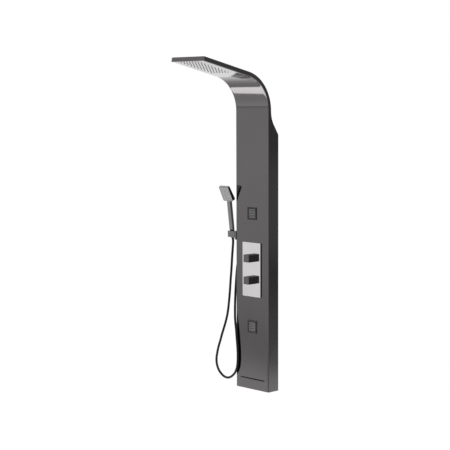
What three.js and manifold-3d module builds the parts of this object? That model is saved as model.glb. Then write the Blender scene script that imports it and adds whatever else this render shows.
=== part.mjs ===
// Rainfall shower column: one bent sheet-metal panel that carries a rain head, two body jets, a cascade
// slot, two square knobs on a bright plate, and a hand shower on a hose at its left side.
// Millimetres, +Z up. The front faces -Y, the wall is the plane Y = 0, and the user's right is +X.
// The origin is the middle of the back face of the upper wall bracket.

import * as THREE from "three";
import { mergeVertices } from "three/addons/utils/BufferGeometryUtils.js";
import Module from "manifold-3d";

const wasm = await Module();
wasm.setup();

// ---- Driving dimensions. Heights are measured from the panel's bottom edge. ----

const WIDTH = 200;
const DEPTH = 60; // wall to front face
const SHEET = 1.5;
const GAP = 0.3; // between pieces that touch on the real object
const BRACKET_Z = 1000; // upper wall bracket, and so the origin
const LOWER_BRACKET_Z = 150;

// The panel leans into its rain head through one bend, and its back runs to the wall at a shoulder.
const NECK_Z = 1222; // where the bend starts
const NECK_DEPTH = 15.6;
const BEND_R = 150;
const HEAD_RISE = THREE.MathUtils.degToRad(13);
const HEAD_LENGTH = 266.5; // straight part of the head
const HEAD_DEPTH = 19;
const SHOULDER_R = 112;
const SHOULDER_ANGLE = THREE.MathUtils.degToRad(33);
const ARC_STEPS = 9;

const NOZZLE_COLUMNS = 7;
const NOZZLE_ROWS = 10;
const NOZZLE_PITCH_X = 17;
const NOZZLE_PITCH_U = 19.5;
const NOZZLE_FIRST_U = 14; // first row, from the head's front edge
const NOZZLE_R = 2;
const NOZZLE_HOLE_R = 2.6;

const PLATE_Z = 532.5;
const PLATE_WIDTH = 110;
const PLATE_HEIGHT = 237;
const PLATE_THICK = 5;
const KNOB_SIZE = 33;
const KNOBS_Z = 535; // midway between the two knobs
const KNOB_PITCH = 96.6;
const SPINDLE_R = 6;
const SLEEVE_R = 11; // of the cartridge, through the sheet and the plate
const SLEEVE_HOLE_R = 12;
const STUD_R = 2;
const STUD_HOLE_R = 2.4;
const STUD_INSET = 12; // from the plate's edges

const JETS_Z = 528.5; // midway between the two jets
const JET_PITCH = 498.3;
const JET_FRAME = 55.5;
const JET_OPENING = 45;
const JET_FACE = 42;
const JET_GROOVES = 5;
const JET_GROOVE_PITCH = 7;
const JET_GROOVE_HEIGHT = 3.4;
const JET_BALL_R = 7;
const JET_CUTOUT = 48.2; // square hole in the sheet

const SLOT_Z = 47;
const SLOT_WIDTH = 150;
const SLOT_HEIGHT = 6;

const OUTLET = new THREE.Vector3(-122, -22, 655); // elbow corner of the hose outlet
const GRIP = new THREE.Vector3(-136.5, -49.5, 694); // where the hand shower's handle meets its holder
const GRIP_TILT = THREE.MathUtils.degToRad(7);
const SPRAY_TILT = THREE.MathUtils.degToRad(18.7); // of the spray head against its handle
const HANDLE = { width: 20, depth: 13, length: 136 };
const SPRAY_HEAD = { width: 59, length: 72, depth: 18, topDepth: 11, corner: 5 };
const HOLDER_Z = { low: 665, high: 693 };
const HOLDER_END_X = -153;
const HOLDER_SCREW_Z = 680;
const SCREW_HOLE_R = 2.8;
const OUTLET_SHANK_R = 9.8;
const OUTLET_HOLE_R = 10.4;
const HOSE_D = 10.5;

const INSIDE_X = WIDTH / 2 - SHEET; // inner face of the side flanges
const FRONT_Y = -DEPTH;
const INNER_Y = -DEPTH + SHEET; // inner face of the front sheet
const PLATE_FRONT_Y = FRONT_Y - GAP - PLATE_THICK;
const NECK_Y = -DEPTH + NECK_DEPTH;
const BEND_ANGLE = Math.PI / 2 - HEAD_RISE;
const SIN_RISE = Math.sin(HEAD_RISE);
const BACK_R = BEND_R + (HEAD_DEPTH - NECK_DEPTH * SIN_RISE) / (1 - SIN_RISE);
const VALVE_Y = -33; // plane of the water ways behind the plate
const KNOB_Z = [KNOBS_Z + KNOB_PITCH / 2, KNOBS_Z - KNOB_PITCH / 2];
const JET_Z = [JETS_Z + JET_PITCH / 2, JETS_Z - JET_PITCH / 2];

// ---- Materials ----

function finish(color, roughness, metalness) {
  return new THREE.MeshStandardMaterial({ color, roughness, metalness });
}
const gunmetal = finish(0x4a4848, 0.22, 0.9);
const mirrorSteel = finish(0xd6d4d4, 0.08, 1);
const brass = finish(0xb08d4a, 0.35, 0.9);
const steel = finish(0xa8a8a8, 0.35, 0.9);
const blackPlastic = finish(0x1c1b1b, 0.4, 0);
const greyPlastic = finish(0x8a8a8a, 0.45, 0);
const palePlastic = finish(0xd8d8d4, 0.5, 0);
const silicone = finish(0x6e6e70, 0.7, 0);
const blackHose = finish(0x171717, 0.35, 0);
const rubber = finish(0x222222, 0.8, 0);

// ---- Solids: three.js geometries, joined and cut ----

function solid(geometry) {
  const bare = geometry.clone();
  bare.deleteAttribute("normal");
  bare.deleteAttribute("uv");
  const merged = mergeVertices(bare, 1e-4);
  return new wasm.Manifold(
    new wasm.Mesh({
      numProp: 3,
      vertProperties: merged.attributes.position.array,
      triVerts: new Uint32Array(merged.index.array),
    }),
  );
}

function geometryOf(body) {
  const mesh = body.getMesh();
  const geometry = new THREE.BufferGeometry();
  geometry.setAttribute("position", new THREE.BufferAttribute(mesh.vertProperties, 3));
  geometry.setIndex(new THREE.BufferAttribute(mesh.triVerts, 1));
  return geometry;
}

function join(...geometries) {
  return geometryOf(geometries.map(solid).reduce((all, next) => all.add(next)));
}

function cut(base, ...tools) {
  return geometryOf(tools.map(solid).reduce((left, tool) => left.subtract(tool), solid(base)));
}

function box(x0, x1, y0, y1, z0, z1) {
  const geometry = new THREE.BoxGeometry(x1 - x0, y1 - y0, z1 - z0);
  return geometry.translate((x0 + x1) / 2, (y0 + y1) / 2, (z0 + z1) / 2);
}

// A round or many-sided rod along an axis, from one coordinate to another. Centre gives the other two.
function rod(axis, from, to, radius, centre = [0, 0], sides = 20, endRadius = radius) {
  const rising = to > from;
  const low = Math.min(from, to);
  const high = Math.max(from, to);
  const [lowR, highR] = rising ? [radius, endRadius] : [endRadius, radius];
  const geometry = new THREE.CylinderGeometry(highR, lowR, high - low, sides);
  const middle = (low + high) / 2;
  if (axis === "x") return geometry.rotateZ(-Math.PI / 2).translate(middle, centre[0], centre[1]);
  if (axis === "z") return geometry.rotateX(Math.PI / 2).translate(centre[0], centre[1], middle);
  return geometry.translate(centre[0], middle, centre[1]);
}

// A side profile drawn in Y and Z, stretched from one X to another.
function extrudeAcross(shape, x0, x1) {
  const across = new THREE.Matrix4().makeBasis(
    new THREE.Vector3(0, 1, 0),
    new THREE.Vector3(0, 0, 1),
    new THREE.Vector3(1, 0, 0),
  );
  const options = { depth: x1 - x0, bevelEnabled: false, curveSegments: ARC_STEPS * 2 };
  return new THREE.ExtrudeGeometry(shape, options).applyMatrix4(across).translate(x0, 0, 0);
}

function polygonAcross(points, x0, x1) {
  return extrudeAcross(new THREE.Shape(points.map(([y, z]) => new THREE.Vector2(y, z))), x0, x1);
}

// A tube of round section along a smooth curve through the points.
function tubeAlong(points, radius, sides, steps) {
  const curve = new THREE.CatmullRomCurve3(points.map((p) => new THREE.Vector3(...p)));
  const section = new THREE.Shape();
  for (let i = 0; i < sides; i++) {
    const angle = (2 * Math.PI * i) / sides;
    const point = [radius * Math.cos(angle), radius * Math.sin(angle)];
    if (i === 0) section.moveTo(...point);
    else section.lineTo(...point);
  }
  return new THREE.ExtrudeGeometry(section, { steps, extrudePath: curve, bevelEnabled: false });
}

function roundedPlate(width, length, corner, depth) {
  const shape = new THREE.Shape();
  const x = width / 2 - corner;
  const y = length / 2 - corner;
  shape.absarc(x, -y, corner, -Math.PI / 2, 0, false);
  shape.absarc(x, y, corner, 0, Math.PI / 2, false);
  shape.absarc(-x, y, corner, Math.PI / 2, Math.PI, false);
  shape.absarc(-x, -y, corner, Math.PI, 1.5 * Math.PI, false);
  return new THREE.ExtrudeGeometry(shape, { depth, bevelEnabled: false, curveSegments: 4 });
}

// ---- Scene graph ----

const showerColumn = new THREE.Group();
const panelFrame = frameIn(showerColumn, [0, 0, -BRACKET_Z]);

function frameIn(parent, position, rotationX = 0) {
  const frame = new THREE.Group();
  frame.position.set(...position);
  frame.rotation.x = rotationX;
  frame.updateMatrix();
  parent.add(frame);
  return frame;
}

function piece(name, geometry, material, parent = panelFrame) {
  const mesh = new THREE.Mesh(geometry, material);
  mesh.name = name;
  parent.add(mesh);
}

function moved(geometry, frame) {
  return geometry.clone().applyMatrix4(frame.matrix);
}

// ---- Panel outline, in Y and Z ----

const frontCentre = new THREE.Vector2(FRONT_Y - BEND_R, NECK_Z);
const backCentre = new THREE.Vector2(NECK_Y - BACK_R, NECK_Z);
const shoulderCentre = new THREE.Vector2(NECK_Y + SHOULDER_R, NECK_Z);
const headFront = new THREE.Vector2(
  frontCentre.x + BEND_R * Math.cos(BEND_ANGLE) - HEAD_LENGTH * Math.cos(HEAD_RISE),
  frontCentre.y + BEND_R * Math.sin(BEND_ANGLE) + HEAD_LENGTH * Math.sin(HEAD_RISE),
);

// The head's own frame: X across, Y along the head towards the wall, Z up through its thickness.
const headFrame = frameIn(panelFrame, [0, headFront.x, headFront.y], -HEAD_RISE);

function headPoint(along, up) {
  const point = new THREE.Vector3(0, along, up).applyMatrix4(headFrame.matrix);
  return new THREE.Vector2(point.y, point.z);
}

function addBackEdge(path, inset, front, wallY) {
  const start = headPoint(front, HEAD_DEPTH - inset);
  path.lineTo(start.x, start.y);
  path.absarc(backCentre.x, backCentre.y, BACK_R - inset, BEND_ANGLE, 0, true);
  const radius = SHOULDER_R + inset;
  path.absarc(shoulderCentre.x, NECK_Z, radius, Math.PI, Math.PI + SHOULDER_ANGLE, false);
  const endY = shoulderCentre.x - radius * Math.cos(SHOULDER_ANGLE);
  const endZ = NECK_Z - radius * Math.sin(SHOULDER_ANGLE);
  path.lineTo(wallY, endZ - (wallY - endY) / Math.tan(SHOULDER_ANGLE));
}

// The outline moved in from the front, bottom and head front by one distance, and from the back by another.
function panelOutline(inset, backInset, wallY) {
  const shape = new THREE.Shape();
  shape.moveTo(FRONT_Y + inset, inset);
  shape.lineTo(FRONT_Y + inset, NECK_Z);
  shape.absarc(frontCentre.x, frontCentre.y, BEND_R + inset, 0, BEND_ANGLE, false);
  const corner = headPoint(inset, inset);
  shape.lineTo(corner.x, corner.y);
  addBackEdge(shape, backInset, inset, wallY);
  shape.lineTo(wallY, inset);
  return shape;
}

// ---- Sheet-metal shell ----

function nozzlePlaces() {
  const places = [];
  for (let row = 0; row < NOZZLE_ROWS; row++) {
    for (let column = 0; column < NOZZLE_COLUMNS; column++) {
      const x = (column - (NOZZLE_COLUMNS - 1) / 2) * NOZZLE_PITCH_X;
      places.push([x, NOZZLE_FIRST_U + row * NOZZLE_PITCH_U]);
    }
  }
  return places;
}

function frontShell() {
  const beyond = 8; // the cutter passes out through the open back
  const outer = extrudeAcross(panelOutline(0, 0, 0), -WIDTH / 2, WIDTH / 2);
  const hollow = extrudeAcross(panelOutline(SHEET, -beyond, beyond), -INSIDE_X, INSIDE_X);
  const holes = nozzlePlaces().map(([x, u]) =>
    moved(rod("z", -1, SHEET + 1, NOZZLE_HOLE_R, [x, u], 6), headFrame),
  );
  const through = [FRONT_Y - 1, INNER_Y + 1];
  const jet = JET_CUTOUT / 2;
  for (const z of JET_Z) holes.push(box(-jet, jet, ...through, z - jet, z + jet));
  for (const z of KNOB_Z) holes.push(rod("y", ...through, SLEEVE_HOLE_R, [0, z]));
  for (const [x, z] of studPlaces()) holes.push(rod("y", ...through, STUD_HOLE_R, [x, z], 8));
  const slotX = SLOT_WIDTH / 2;
  const slotZ = SLOT_HEIGHT / 2;
  holes.push(box(-slotX, slotX, ...through, SLOT_Z - slotZ, SLOT_Z + slotZ));
  const side = [-WIDTH / 2 - 1, -INSIDE_X + 1];
  holes.push(rod("x", ...side, OUTLET_HOLE_R, [OUTLET.y, OUTLET.z]));
  holes.push(rod("x", ...side, SCREW_HOLE_R, [GRIP.y, HOLDER_SCREW_Z], 10));
  return cut(outer, hollow, ...holes);
}

function backCover() {
  const front = SHEET + GAP;
  const [outside, inside] = [GAP, GAP + SHEET].map((inset) => {
    const edge = new THREE.Path();
    const start = headPoint(front, HEAD_DEPTH - inset);
    edge.moveTo(start.x, start.y);
    addBackEdge(edge, inset, front, -2);
    return edge.getPoints(ARC_STEPS * 2);
  });
  const band = new THREE.Shape([...outside, ...inside.reverse()]);
  return extrudeAcross(band, -INSIDE_X + GAP, INSIDE_X - GAP);
}

function studPlaces() {
  const x = PLATE_WIDTH / 2 - STUD_INSET;
  const z = PLATE_HEIGHT / 2 - STUD_INSET;
  return [-1, 1].flatMap((sx) => [-1, 1].map((sz) => [sx * x, PLATE_Z + sz * z]));
}

piece("front_shell", frontShell(), gunmetal);
piece("back_cover", backCover(), gunmetal);

// ---- Rain head: silicone nozzle mat under a shallow water chamber ----

const MAT = { top: 4.9, x: 66, near: 5, far: 208 };
const CHAMBER_TOP = 16.7;
const CHAMBER_WALL = 2.5;
const FEED_X = -50;
const FEED_W = 10; // height of the feed's axis over the head's underside

function nozzleMat() {
  const pad = box(-MAT.x, MAT.x, MAT.near, MAT.far, SHEET + GAP, MAT.top);
  const tips = nozzlePlaces().map((place) => rod("z", 2.5, -2.5, NOZZLE_R, place, 6, NOZZLE_R * 0.7));
  return join(pad, ...tips);
}

function rainChamber() {
  const low = MAT.top + GAP;
  const tray = box(-MAT.x, MAT.x, MAT.near, MAT.far, low, CHAMBER_TOP);
  const x = MAT.x - CHAMBER_WALL;
  const ends = [MAT.near + CHAMBER_WALL, MAT.far - CHAMBER_WALL];
  const hollow = box(-x, x, ...ends, low - 1, CHAMBER_TOP - CHAMBER_WALL);
  const feed = rod("y", MAT.far - 5, MAT.far + 1, 4.5, [FEED_X, FEED_W], 16);
  return cut(tray, hollow, feed);
}

function rainConnector() {
  const spigot = rod("y", MAT.far - 4, MAT.far + 1, 4.2, [FEED_X, FEED_W], 16);
  const collar = rod("y", MAT.far + GAP, MAT.far + 14, 6, [FEED_X, FEED_W], 16);
  const bore = rod("y", MAT.far - 6, MAT.far + 16, 2.6, [FEED_X, FEED_W], 12);
  return cut(join(spigot, collar), bore);
}

piece("nozzle_mat", nozzleMat(), silicone, headFrame);
piece("rain_chamber", rainChamber(), palePlastic, headFrame);
piece("rain_connector", rainConnector(), brass, headFrame);

// ---- Control plate with its studs and nuts ----

function controlPlate() {
  const x = PLATE_WIDTH / 2;
  const z = PLATE_HEIGHT / 2;
  const back = FRONT_Y - GAP;
  const plate = box(-x, x, PLATE_FRONT_Y, back, PLATE_Z - z, PLATE_Z + z);
  const studs = studPlaces().map((at) => rod("y", back - 1, INNER_Y + 8, STUD_R, at, 8));
  const holes = KNOB_Z.map((knobZ) => rod("y", PLATE_FRONT_Y - 1, back + 1, SLEEVE_HOLE_R, [0, knobZ]));
  return cut(join(plate, ...studs), ...holes);
}

piece("control_plate", controlPlate(), mirrorSteel);
studPlaces().forEach((at, i) => {
  const nut = cut(
    rod("y", INNER_Y + GAP, INNER_Y + 3.5, 4, at, 6),
    rod("y", INNER_Y - 1, INNER_Y + 5, STUD_R + GAP, at, 8),
  );
  piece(`plate_nut_${i + 1}`, nut, steel);
});

// ---- Valve: brass body, two cartridges, their nuts, spindles and knobs ----

const BOSS_FRONT = -50;
const CARTRIDGE_BACK = -24;
const STUB_R = 9;
const BORE_R = 16.8;
const PORT_REACH = 38; // of the supply ports and the two upright stubs, from the boss axis
const SIDE_REACH = 36; // of the two side stubs

function valveBody() {
  const [upper, lower] = KNOB_Z;
  const bosses = KNOB_Z.map((z) => rod("y", BOSS_FRONT, -16, 22, [0, z], 24));
  const core = box(-15, 15, -46, -18, lower, upper);
  const stubs = [
    rod("z", upper + 15, upper + PORT_REACH, STUB_R, [0, VALVE_Y], 16),
    rod("z", lower - PORT_REACH, lower - 15, STUB_R, [0, VALVE_Y], 16),
    rod("x", -SIDE_REACH, SIDE_REACH, STUB_R, [VALVE_Y, upper], 16),
    rod("x", -PORT_REACH, PORT_REACH, 13, [VALVE_Y, lower]),
  ];
  const bores = KNOB_Z.map((z) => rod("y", BOSS_FRONT - 1, CARTRIDGE_BACK + 1.5, BORE_R, [0, z], 24));
  const ports = [-1, 1].map((side) => rod("x", side * 16, side * 40, 8, [VALVE_Y, lower], 12));
  return cut(join(core, ...bosses, ...stubs), ...bores, ...ports);
}

function cartridge() {
  const barrel = rod("y", BOSS_FRONT + GAP, CARTRIDGE_BACK, BORE_R - 0.4, [0, 0], 24);
  const sleeve = rod("y", PLATE_FRONT_Y + 0.8, BOSS_FRONT + 2, SLEEVE_R);
  const socket = rod("y", PLATE_FRONT_Y - 1, BOSS_FRONT + 3, SPINDLE_R + GAP, [0, 0], 16);
  return cut(join(barrel, sleeve), socket);
}

function cartridgeNut() {
  const hex = rod("y", BOSS_FRONT - 7.5, BOSS_FRONT - GAP, 18, [0, 0], 6);
  return cut(hex, rod("y", BOSS_FRONT - 9, BOSS_FRONT + 1, SLEEVE_R + GAP));
}

const KNOB_BACK = PLATE_FRONT_Y - 0.6;
const KNOB_FRONT = KNOB_BACK - KNOB_SIZE + 1;
const SPINDLE_FRONT = KNOB_BACK - 17;
const GRUB_Y = KNOB_BACK - 8;
const GRUB_R = 2;

function knob() {
  const half = KNOB_SIZE / 2;
  const cube = box(-half, half, KNOB_FRONT, KNOB_BACK, -half, half);
  const socket = rod("y", SPINDLE_FRONT - 1, KNOB_BACK + 1, SPINDLE_R + GAP, [0, 0], 16);
  const grubHole = rod("z", -half - 1, -SPINDLE_R, GRUB_R + 0.4, [0, GRUB_Y], 8);
  return cut(cube, socket, grubHole);
}

["diverter", "mixer"].forEach((name, i) => {
  const frame = frameIn(panelFrame, [0, 0, KNOB_Z[i]]);
  piece(`${name}_cartridge`, cartridge(), palePlastic, frame);
  piece(`${name}_cartridge_nut`, cartridgeNut(), brass, frame);
  piece(`${name}_spindle`, rod("y", SPINDLE_FRONT, BOSS_FRONT + 2, SPINDLE_R, [0, 0], 16), brass, frame);
  piece(`${name}_knob`, knob(), gunmetal, frame);
  const grub = rod("z", -KNOB_SIZE / 2 + 1, -SPINDLE_R - GAP, GRUB_R, [0, GRUB_Y], 8);
  piece(`${name}_knob_screw`, grub, steel, frame);
});
piece("valve_body", valveBody(), brass);

// Supply nipples at the two sides of the lower boss, each with its check valve inside.
const NIPPLE_START = PORT_REACH + GAP;
const NIPPLE_END = 62;
[["hot", -1], ["cold", 1]].forEach(([name, side]) => {
  const at = [VALVE_Y, KNOB_Z[1]];
  const thread = rod("x", side * NIPPLE_START, side * NIPPLE_END, 10.5, at);
  const hex = rod("x", side * NIPPLE_START, side * 46, 15, at, 6);
  const bore = rod("x", side * 37, side * (NIPPLE_END + 1), 7, at, 16);
  piece(`${name}_inlet`, cut(join(thread, hex), bore), brass);
  const valve = rod("x", side * 40, side * 54, 6.7, at, 12);
  piece(`${name}_check_valve`, valve, greyPlastic);
});

// ---- Body jets: frame, housing, clamp behind the sheet, and a square face on a ball ----

const FACE_FRONT = FRONT_Y - 2;
const FACE_THICK = 3.5;
const BALL_Y = FACE_FRONT + 7;

function squareRing(outer, inner, y0, y1) {
  const o = outer / 2;
  const i = inner / 2;
  return cut(box(-o, o, y0, y1, -o, o), box(-i, i, y0 - 1, y1 + 1, -i, i));
}

function jetHousing(stubSide) {
  const half = JET_CUTOUT / 2 - 0.4;
  const barrel = box(-half, half, FRONT_Y, -45, -half, half);
  const well = JET_OPENING / 2 + 0.4;
  const hollow = box(-well, well, FRONT_Y - 1, -48, -well, well);
  const seat = rod("y", BALL_Y + 1.5, -47, 10, [0, 0], 16);
  const boss = rod("y", -46, -29, 9, [0, 0], 16);
  const stub = rod("z", stubSide * 5, stubSide * 26, 6, [0, -36], 12);
  const pocket = new THREE.SphereGeometry(JET_BALL_R + 0.4, 16, 10).translate(0, BALL_Y, 0);
  return cut(join(cut(barrel, hollow), seat, boss, stub), pocket);
}

function jetFace() {
  const half = JET_FACE / 2;
  const plate = box(-half, half, FACE_FRONT, FACE_FRONT + FACE_THICK, -half, half);
  const ball = new THREE.SphereGeometry(JET_BALL_R - 0.2, 16, 10).translate(0, BALL_Y, 0);
  const grooves = [];
  for (let i = 0; i < JET_GROOVES; i++) {
    const middle = (i - (JET_GROOVES - 1) / 2) * JET_GROOVE_PITCH;
    const low = middle - JET_GROOVE_HEIGHT / 2;
    const high = middle + JET_GROOVE_HEIGHT / 2;
    grooves.push(box(-half + 4, half - 4, FACE_FRONT - 1, FACE_FRONT + 0.8, low, high));
  }
  return cut(join(plate, ball), ...grooves);
}

["upper", "lower"].forEach((name, i) => {
  const frame = frameIn(panelFrame, [0, 0, JET_Z[i]]);
  const ring = squareRing(JET_FRAME, JET_OPENING, FRONT_Y - 2.5, FRONT_Y - GAP);
  piece(`${name}_jet_frame`, ring, blackPlastic, frame);
  piece(`${name}_jet_housing`, jetHousing(i === 0 ? -1 : 1), blackPlastic, frame);
  piece(`${name}_jet_clamp`, squareRing(60, 48, INNER_Y + GAP, INNER_Y + 4), steel, frame);
  piece(`${name}_jet_face`, jetFace(), greyPlastic, frame);
});

// ---- Cascade slot: a flat water box behind the slit in the front sheet ----

function cascadeBox() {
  const body = box(-80, 80, INNER_Y + GAP, -32, SLOT_Z - 15, SLOT_Z + 15);
  const channel = box(-SLOT_WIDTH / 2 + 2, SLOT_WIDTH / 2 - 2, INNER_Y - 1, -37, SLOT_Z - 2.2, SLOT_Z + 2.2);
  const stub = rod("z", SLOT_Z + 10, SLOT_Z + 30, 6, [0, -45], 12);
  return cut(join(body, stub), channel);
}
piece("cascade_box", cascadeBox(), blackPlastic);

// ---- Water tubes inside the panel ----

const TUBE_R = 5;
const TEE_X = 54;
const TUBE_FRONT_Y = -50.5; // a tube just behind the front sheet

function neckPoint(angle) {
  const radius = BEND_R + SHEET + 6.4;
  const t = THREE.MathUtils.degToRad(angle);
  return [FEED_X, frontCentre.x + radius * Math.cos(t), NECK_Z + radius * Math.sin(t)];
}

function rainTube() {
  const start = KNOB_Z[0] + PORT_REACH + GAP;
  const bend = [8, 24, 40, 56, 70].map(neckPoint);
  const end = [36, 14.4].map((beyond) => headPoint(MAT.far + beyond, FEED_W));
  const points = [
    [0, VALVE_Y, start],
    [0, VALVE_Y, start + 18],
    [-20, -31, start + 50],
    [FEED_X, -28, start + 110],
    [FEED_X, -28, 900],
    [FEED_X, -28, 1110],
    [FEED_X, -38, 1158],
    [FEED_X, -49.6, 1196],
    ...bend,
    ...end.map((p) => [FEED_X, p.x, p.y]),
  ];
  return tubeAlong(points, TUBE_R, 8, 44);
}

function jetTee() {
  const at = [VALVE_Y, KNOB_Z[0]];
  const arm = rod("x", SIDE_REACH + GAP, TEE_X + 4, 7, at, 12);
  const post = rod("z", KNOB_Z[0] - 16, KNOB_Z[0] + 16, 7, [TEE_X, VALVE_Y], 12);
  return join(arm, post);
}

function upperJetTube() {
  const start = KNOB_Z[0] + 16 + GAP;
  const end = JET_Z[0] - 26 - GAP;
  const points = [
    [TEE_X, VALVE_Y, start],
    [TEE_X, VALVE_Y, start + 14],
    [44, -34, start + 55],
    [12, -36, end - 45],
    [0, -36, end - 12],
    [0, -36, end],
  ];
  return tubeAlong(points, TUBE_R, 8, 14);
}

function lowerJetTube() {
  const start = KNOB_Z[0] - 16 - GAP;
  const end = JET_Z[1] + 26 + GAP;
  const points = [
    [TEE_X, VALVE_Y, start],
    [TEE_X, VALVE_Y, start - 10],
    [TEE_X, TUBE_FRONT_Y, start - 48],
    [TEE_X, TUBE_FRONT_Y, start - 108],
    [TEE_X - 4, -42, start - 160],
    [14, -36, end + 45],
    [0, -36, end + 12],
    [0, -36, end],
  ];
  return tubeAlong(points, TUBE_R, 8, 20);
}

function cascadeTube() {
  const start = KNOB_Z[1] - PORT_REACH - GAP;
  const end = SLOT_Z + 30 + GAP;
  const points = [
    [0, VALVE_Y, start],
    [0, VALVE_Y, start - 12],
    [-28, -30, start - 52],
    [-48, -28, start - 110],
    [-48, -28, 210],
    [-30, -34, 140],
    [-4, -44, end + 22],
    [0, -45, end + 8],
    [0, -45, end],
  ];
  return tubeAlong(points, TUBE_R, 8, 24);
}

function handsetTube() {
  const points = [
    [-SIDE_REACH - GAP, VALVE_Y, KNOB_Z[0]],
    [-46, VALVE_Y, KNOB_Z[0]],
    [-58, -30, KNOB_Z[0] + 18],
    [-64, -26, OUTLET.z - 18],
    [-74, OUTLET.y, OUTLET.z],
    [-84 + GAP, OUTLET.y, OUTLET.z],
  ];
  return tubeAlong(points, TUBE_R, 8, 12);
}

piece("rain_tube", rainTube(), palePlastic);
piece("jet_tee", jetTee(), brass);
piece("upper_jet_tube", upperJetTube(), palePlastic);
piece("lower_jet_tube", lowerJetTube(), palePlastic);
piece("cascade_tube", cascadeTube(), palePlastic);
piece("handset_tube", handsetTube(), palePlastic);

// ---- Hose outlet on the left flange ----

const ELBOW_R = 9;
const LEG = 18;
const HOSE_NUT_TOP = OUTLET.z - LEG - GAP;
const HOSE_START = HOSE_NUT_TOP - 26;
const THREAD_LENGTH = 10;
const WASHER_THICK = 1.6;

function outletElbow() {
  const at = [OUTLET.y, OUTLET.z];
  const shank = rod("x", -84, -102, OUTLET_SHANK_R, at, 16);
  const rosette = rod("x", -WIDTH / 2 - GAP, -WIDTH / 2 - 3, 13.5, at, 20);
  const barrel = rod("x", -102, OUTLET.x, ELBOW_R, at, 16);
  const corner = new THREE.SphereGeometry(ELBOW_R, 16, 10).translate(OUTLET.x, OUTLET.y, OUTLET.z);
  const leg = rod("z", OUTLET.z, OUTLET.z - LEG, ELBOW_R, [OUTLET.x, OUTLET.y], 16);
  const low = OUTLET.z - LEG;
  const thread = rod("z", low + 1, low - THREAD_LENGTH, 7, [OUTLET.x, OUTLET.y], 16);
  const wayOut = rod("z", OUTLET.z, low - THREAD_LENGTH - 1, 3.5, [OUTLET.x, OUTLET.y], 12);
  return cut(join(shank, rosette, barrel, corner, leg, thread), wayOut);
}

function outletNut() {
  const at = [OUTLET.y, OUTLET.z];
  const hex = rod("x", -92, -INSIDE_X + GAP, 15, at, 6);
  return cut(hex, rod("x", -90, -INSIDE_X - 1, OUTLET_SHANK_R + GAP, at, 16));
}

function hoseNut() {
  const at = [OUTLET.x, OUTLET.y];
  const hex = rod("z", HOSE_NUT_TOP, HOSE_NUT_TOP - 14, 11, at, 12);
  const ferrule = rod("z", HOSE_NUT_TOP - 13, HOSE_START, 7.5, at, 12, 6);
  const low = HOSE_NUT_TOP - THREAD_LENGTH - WASHER_THICK - GAP;
  return cut(join(hex, ferrule), rod("z", low, HOSE_NUT_TOP + 1, 7 + GAP, at, 16));
}

// A flat ring between a threaded stub's end, at the height given, and the floor of its nut.
function washer(top, radius, centre = [0, 0]) {
  const ring = rod("z", top, top - WASHER_THICK, radius, centre, 16);
  return cut(ring, rod("z", top + 1, top - WASHER_THICK - 1, radius / 2, centre, 12));
}

piece("outlet_elbow", outletElbow(), gunmetal);
piece("outlet_backnut", outletNut(), brass);
piece("hose_nut", hoseNut(), gunmetal);
const outletThreadEnd = OUTLET.z - LEG - THREAD_LENGTH;
piece("hose_washer", washer(outletThreadEnd - GAP / 2, 7, [OUTLET.x, OUTLET.y]), rubber);

// ---- Hand shower, in a frame along its handle ----

const gripFrame = frameIn(panelFrame, GRIP.toArray(), GRIP_TILT);
const sprayFrame = frameIn(gripFrame, [0, -HANDLE.depth / 2 - 0.6, HANDLE.length - 3], SPRAY_TILT);
const NUT = { top: 4, cone: 1.2, tip: -34, collar: 10.5, wide: 10, narrow: 7.4 };

// In the spray frame the head's face looks along -Y, and its lower edge starts at Z = 0.
function sprayBlock(width, length, corner, y0, y1) {
  const plate = roundedPlate(width, length, corner, y1 - y0).rotateX(Math.PI / 2);
  return plate.translate(0, y1, SPRAY_HEAD.length / 2);
}

function handsetBody() {
  const { width, depth, length } = HANDLE;
  const handle = box(-width / 2, width / 2, -depth / 2, depth / 2, NUT.top + GAP, length + 3);
  const { width: w, length: l, corner, depth: d, topDepth } = SPRAY_HEAD;
  const slope = Math.atan2(d - topDepth, l); // the back of the head leans in towards its top
  const behind = box(-w, w, 0, d, -l, 2 * l).rotateX(slope).translate(0, d, 0);
  const head = moved(cut(sprayBlock(w, l, corner, 0, d), behind), sprayFrame);
  const recess = moved(sprayBlock(w - 8, l - 8, 3, -1, 9), sprayFrame);
  const thread = rod("z", NUT.top + 1, NUT.top - THREAD_LENGTH, 6, [0, 0], 16);
  const waterWay = rod("z", NUT.top - THREAD_LENGTH - 1, length + 10, 3.5, [0, 0], 12);
  return cut(join(handle, thread, head), recess, waterWay);
}

function sprayPlate() {
  return sprayBlock(SPRAY_HEAD.width - 9, SPRAY_HEAD.length - 9, 2.5, 0, 3);
}

function handsetNut() {
  const collar = rod("z", NUT.top, NUT.cone, NUT.collar, [0, 0], 20);
  const cone = rod("z", NUT.cone + 1, NUT.tip, NUT.wide, [0, 0], 20, NUT.narrow);
  const low = NUT.top - THREAD_LENGTH - WASHER_THICK - GAP;
  return cut(join(collar, cone), rod("z", low, NUT.top + 1, 6 + GAP, [0, 0], 16));
}

piece("handset_body", handsetBody(), gunmetal, gripFrame);
piece("handset_spray_plate", sprayPlate(), greyPlastic, sprayFrame);
piece("handset_hose_nut", handsetNut(), blackPlastic, gripFrame);
piece("handset_washer", washer(NUT.top - THREAD_LENGTH - GAP / 2, 6), rubber, gripFrame);

// ---- Holder on the left flange, open at its outer side for the hose ----

const HOLDER_Y = [-62, -37];
const SEAT_CLEARANCE = 0.35;

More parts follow.
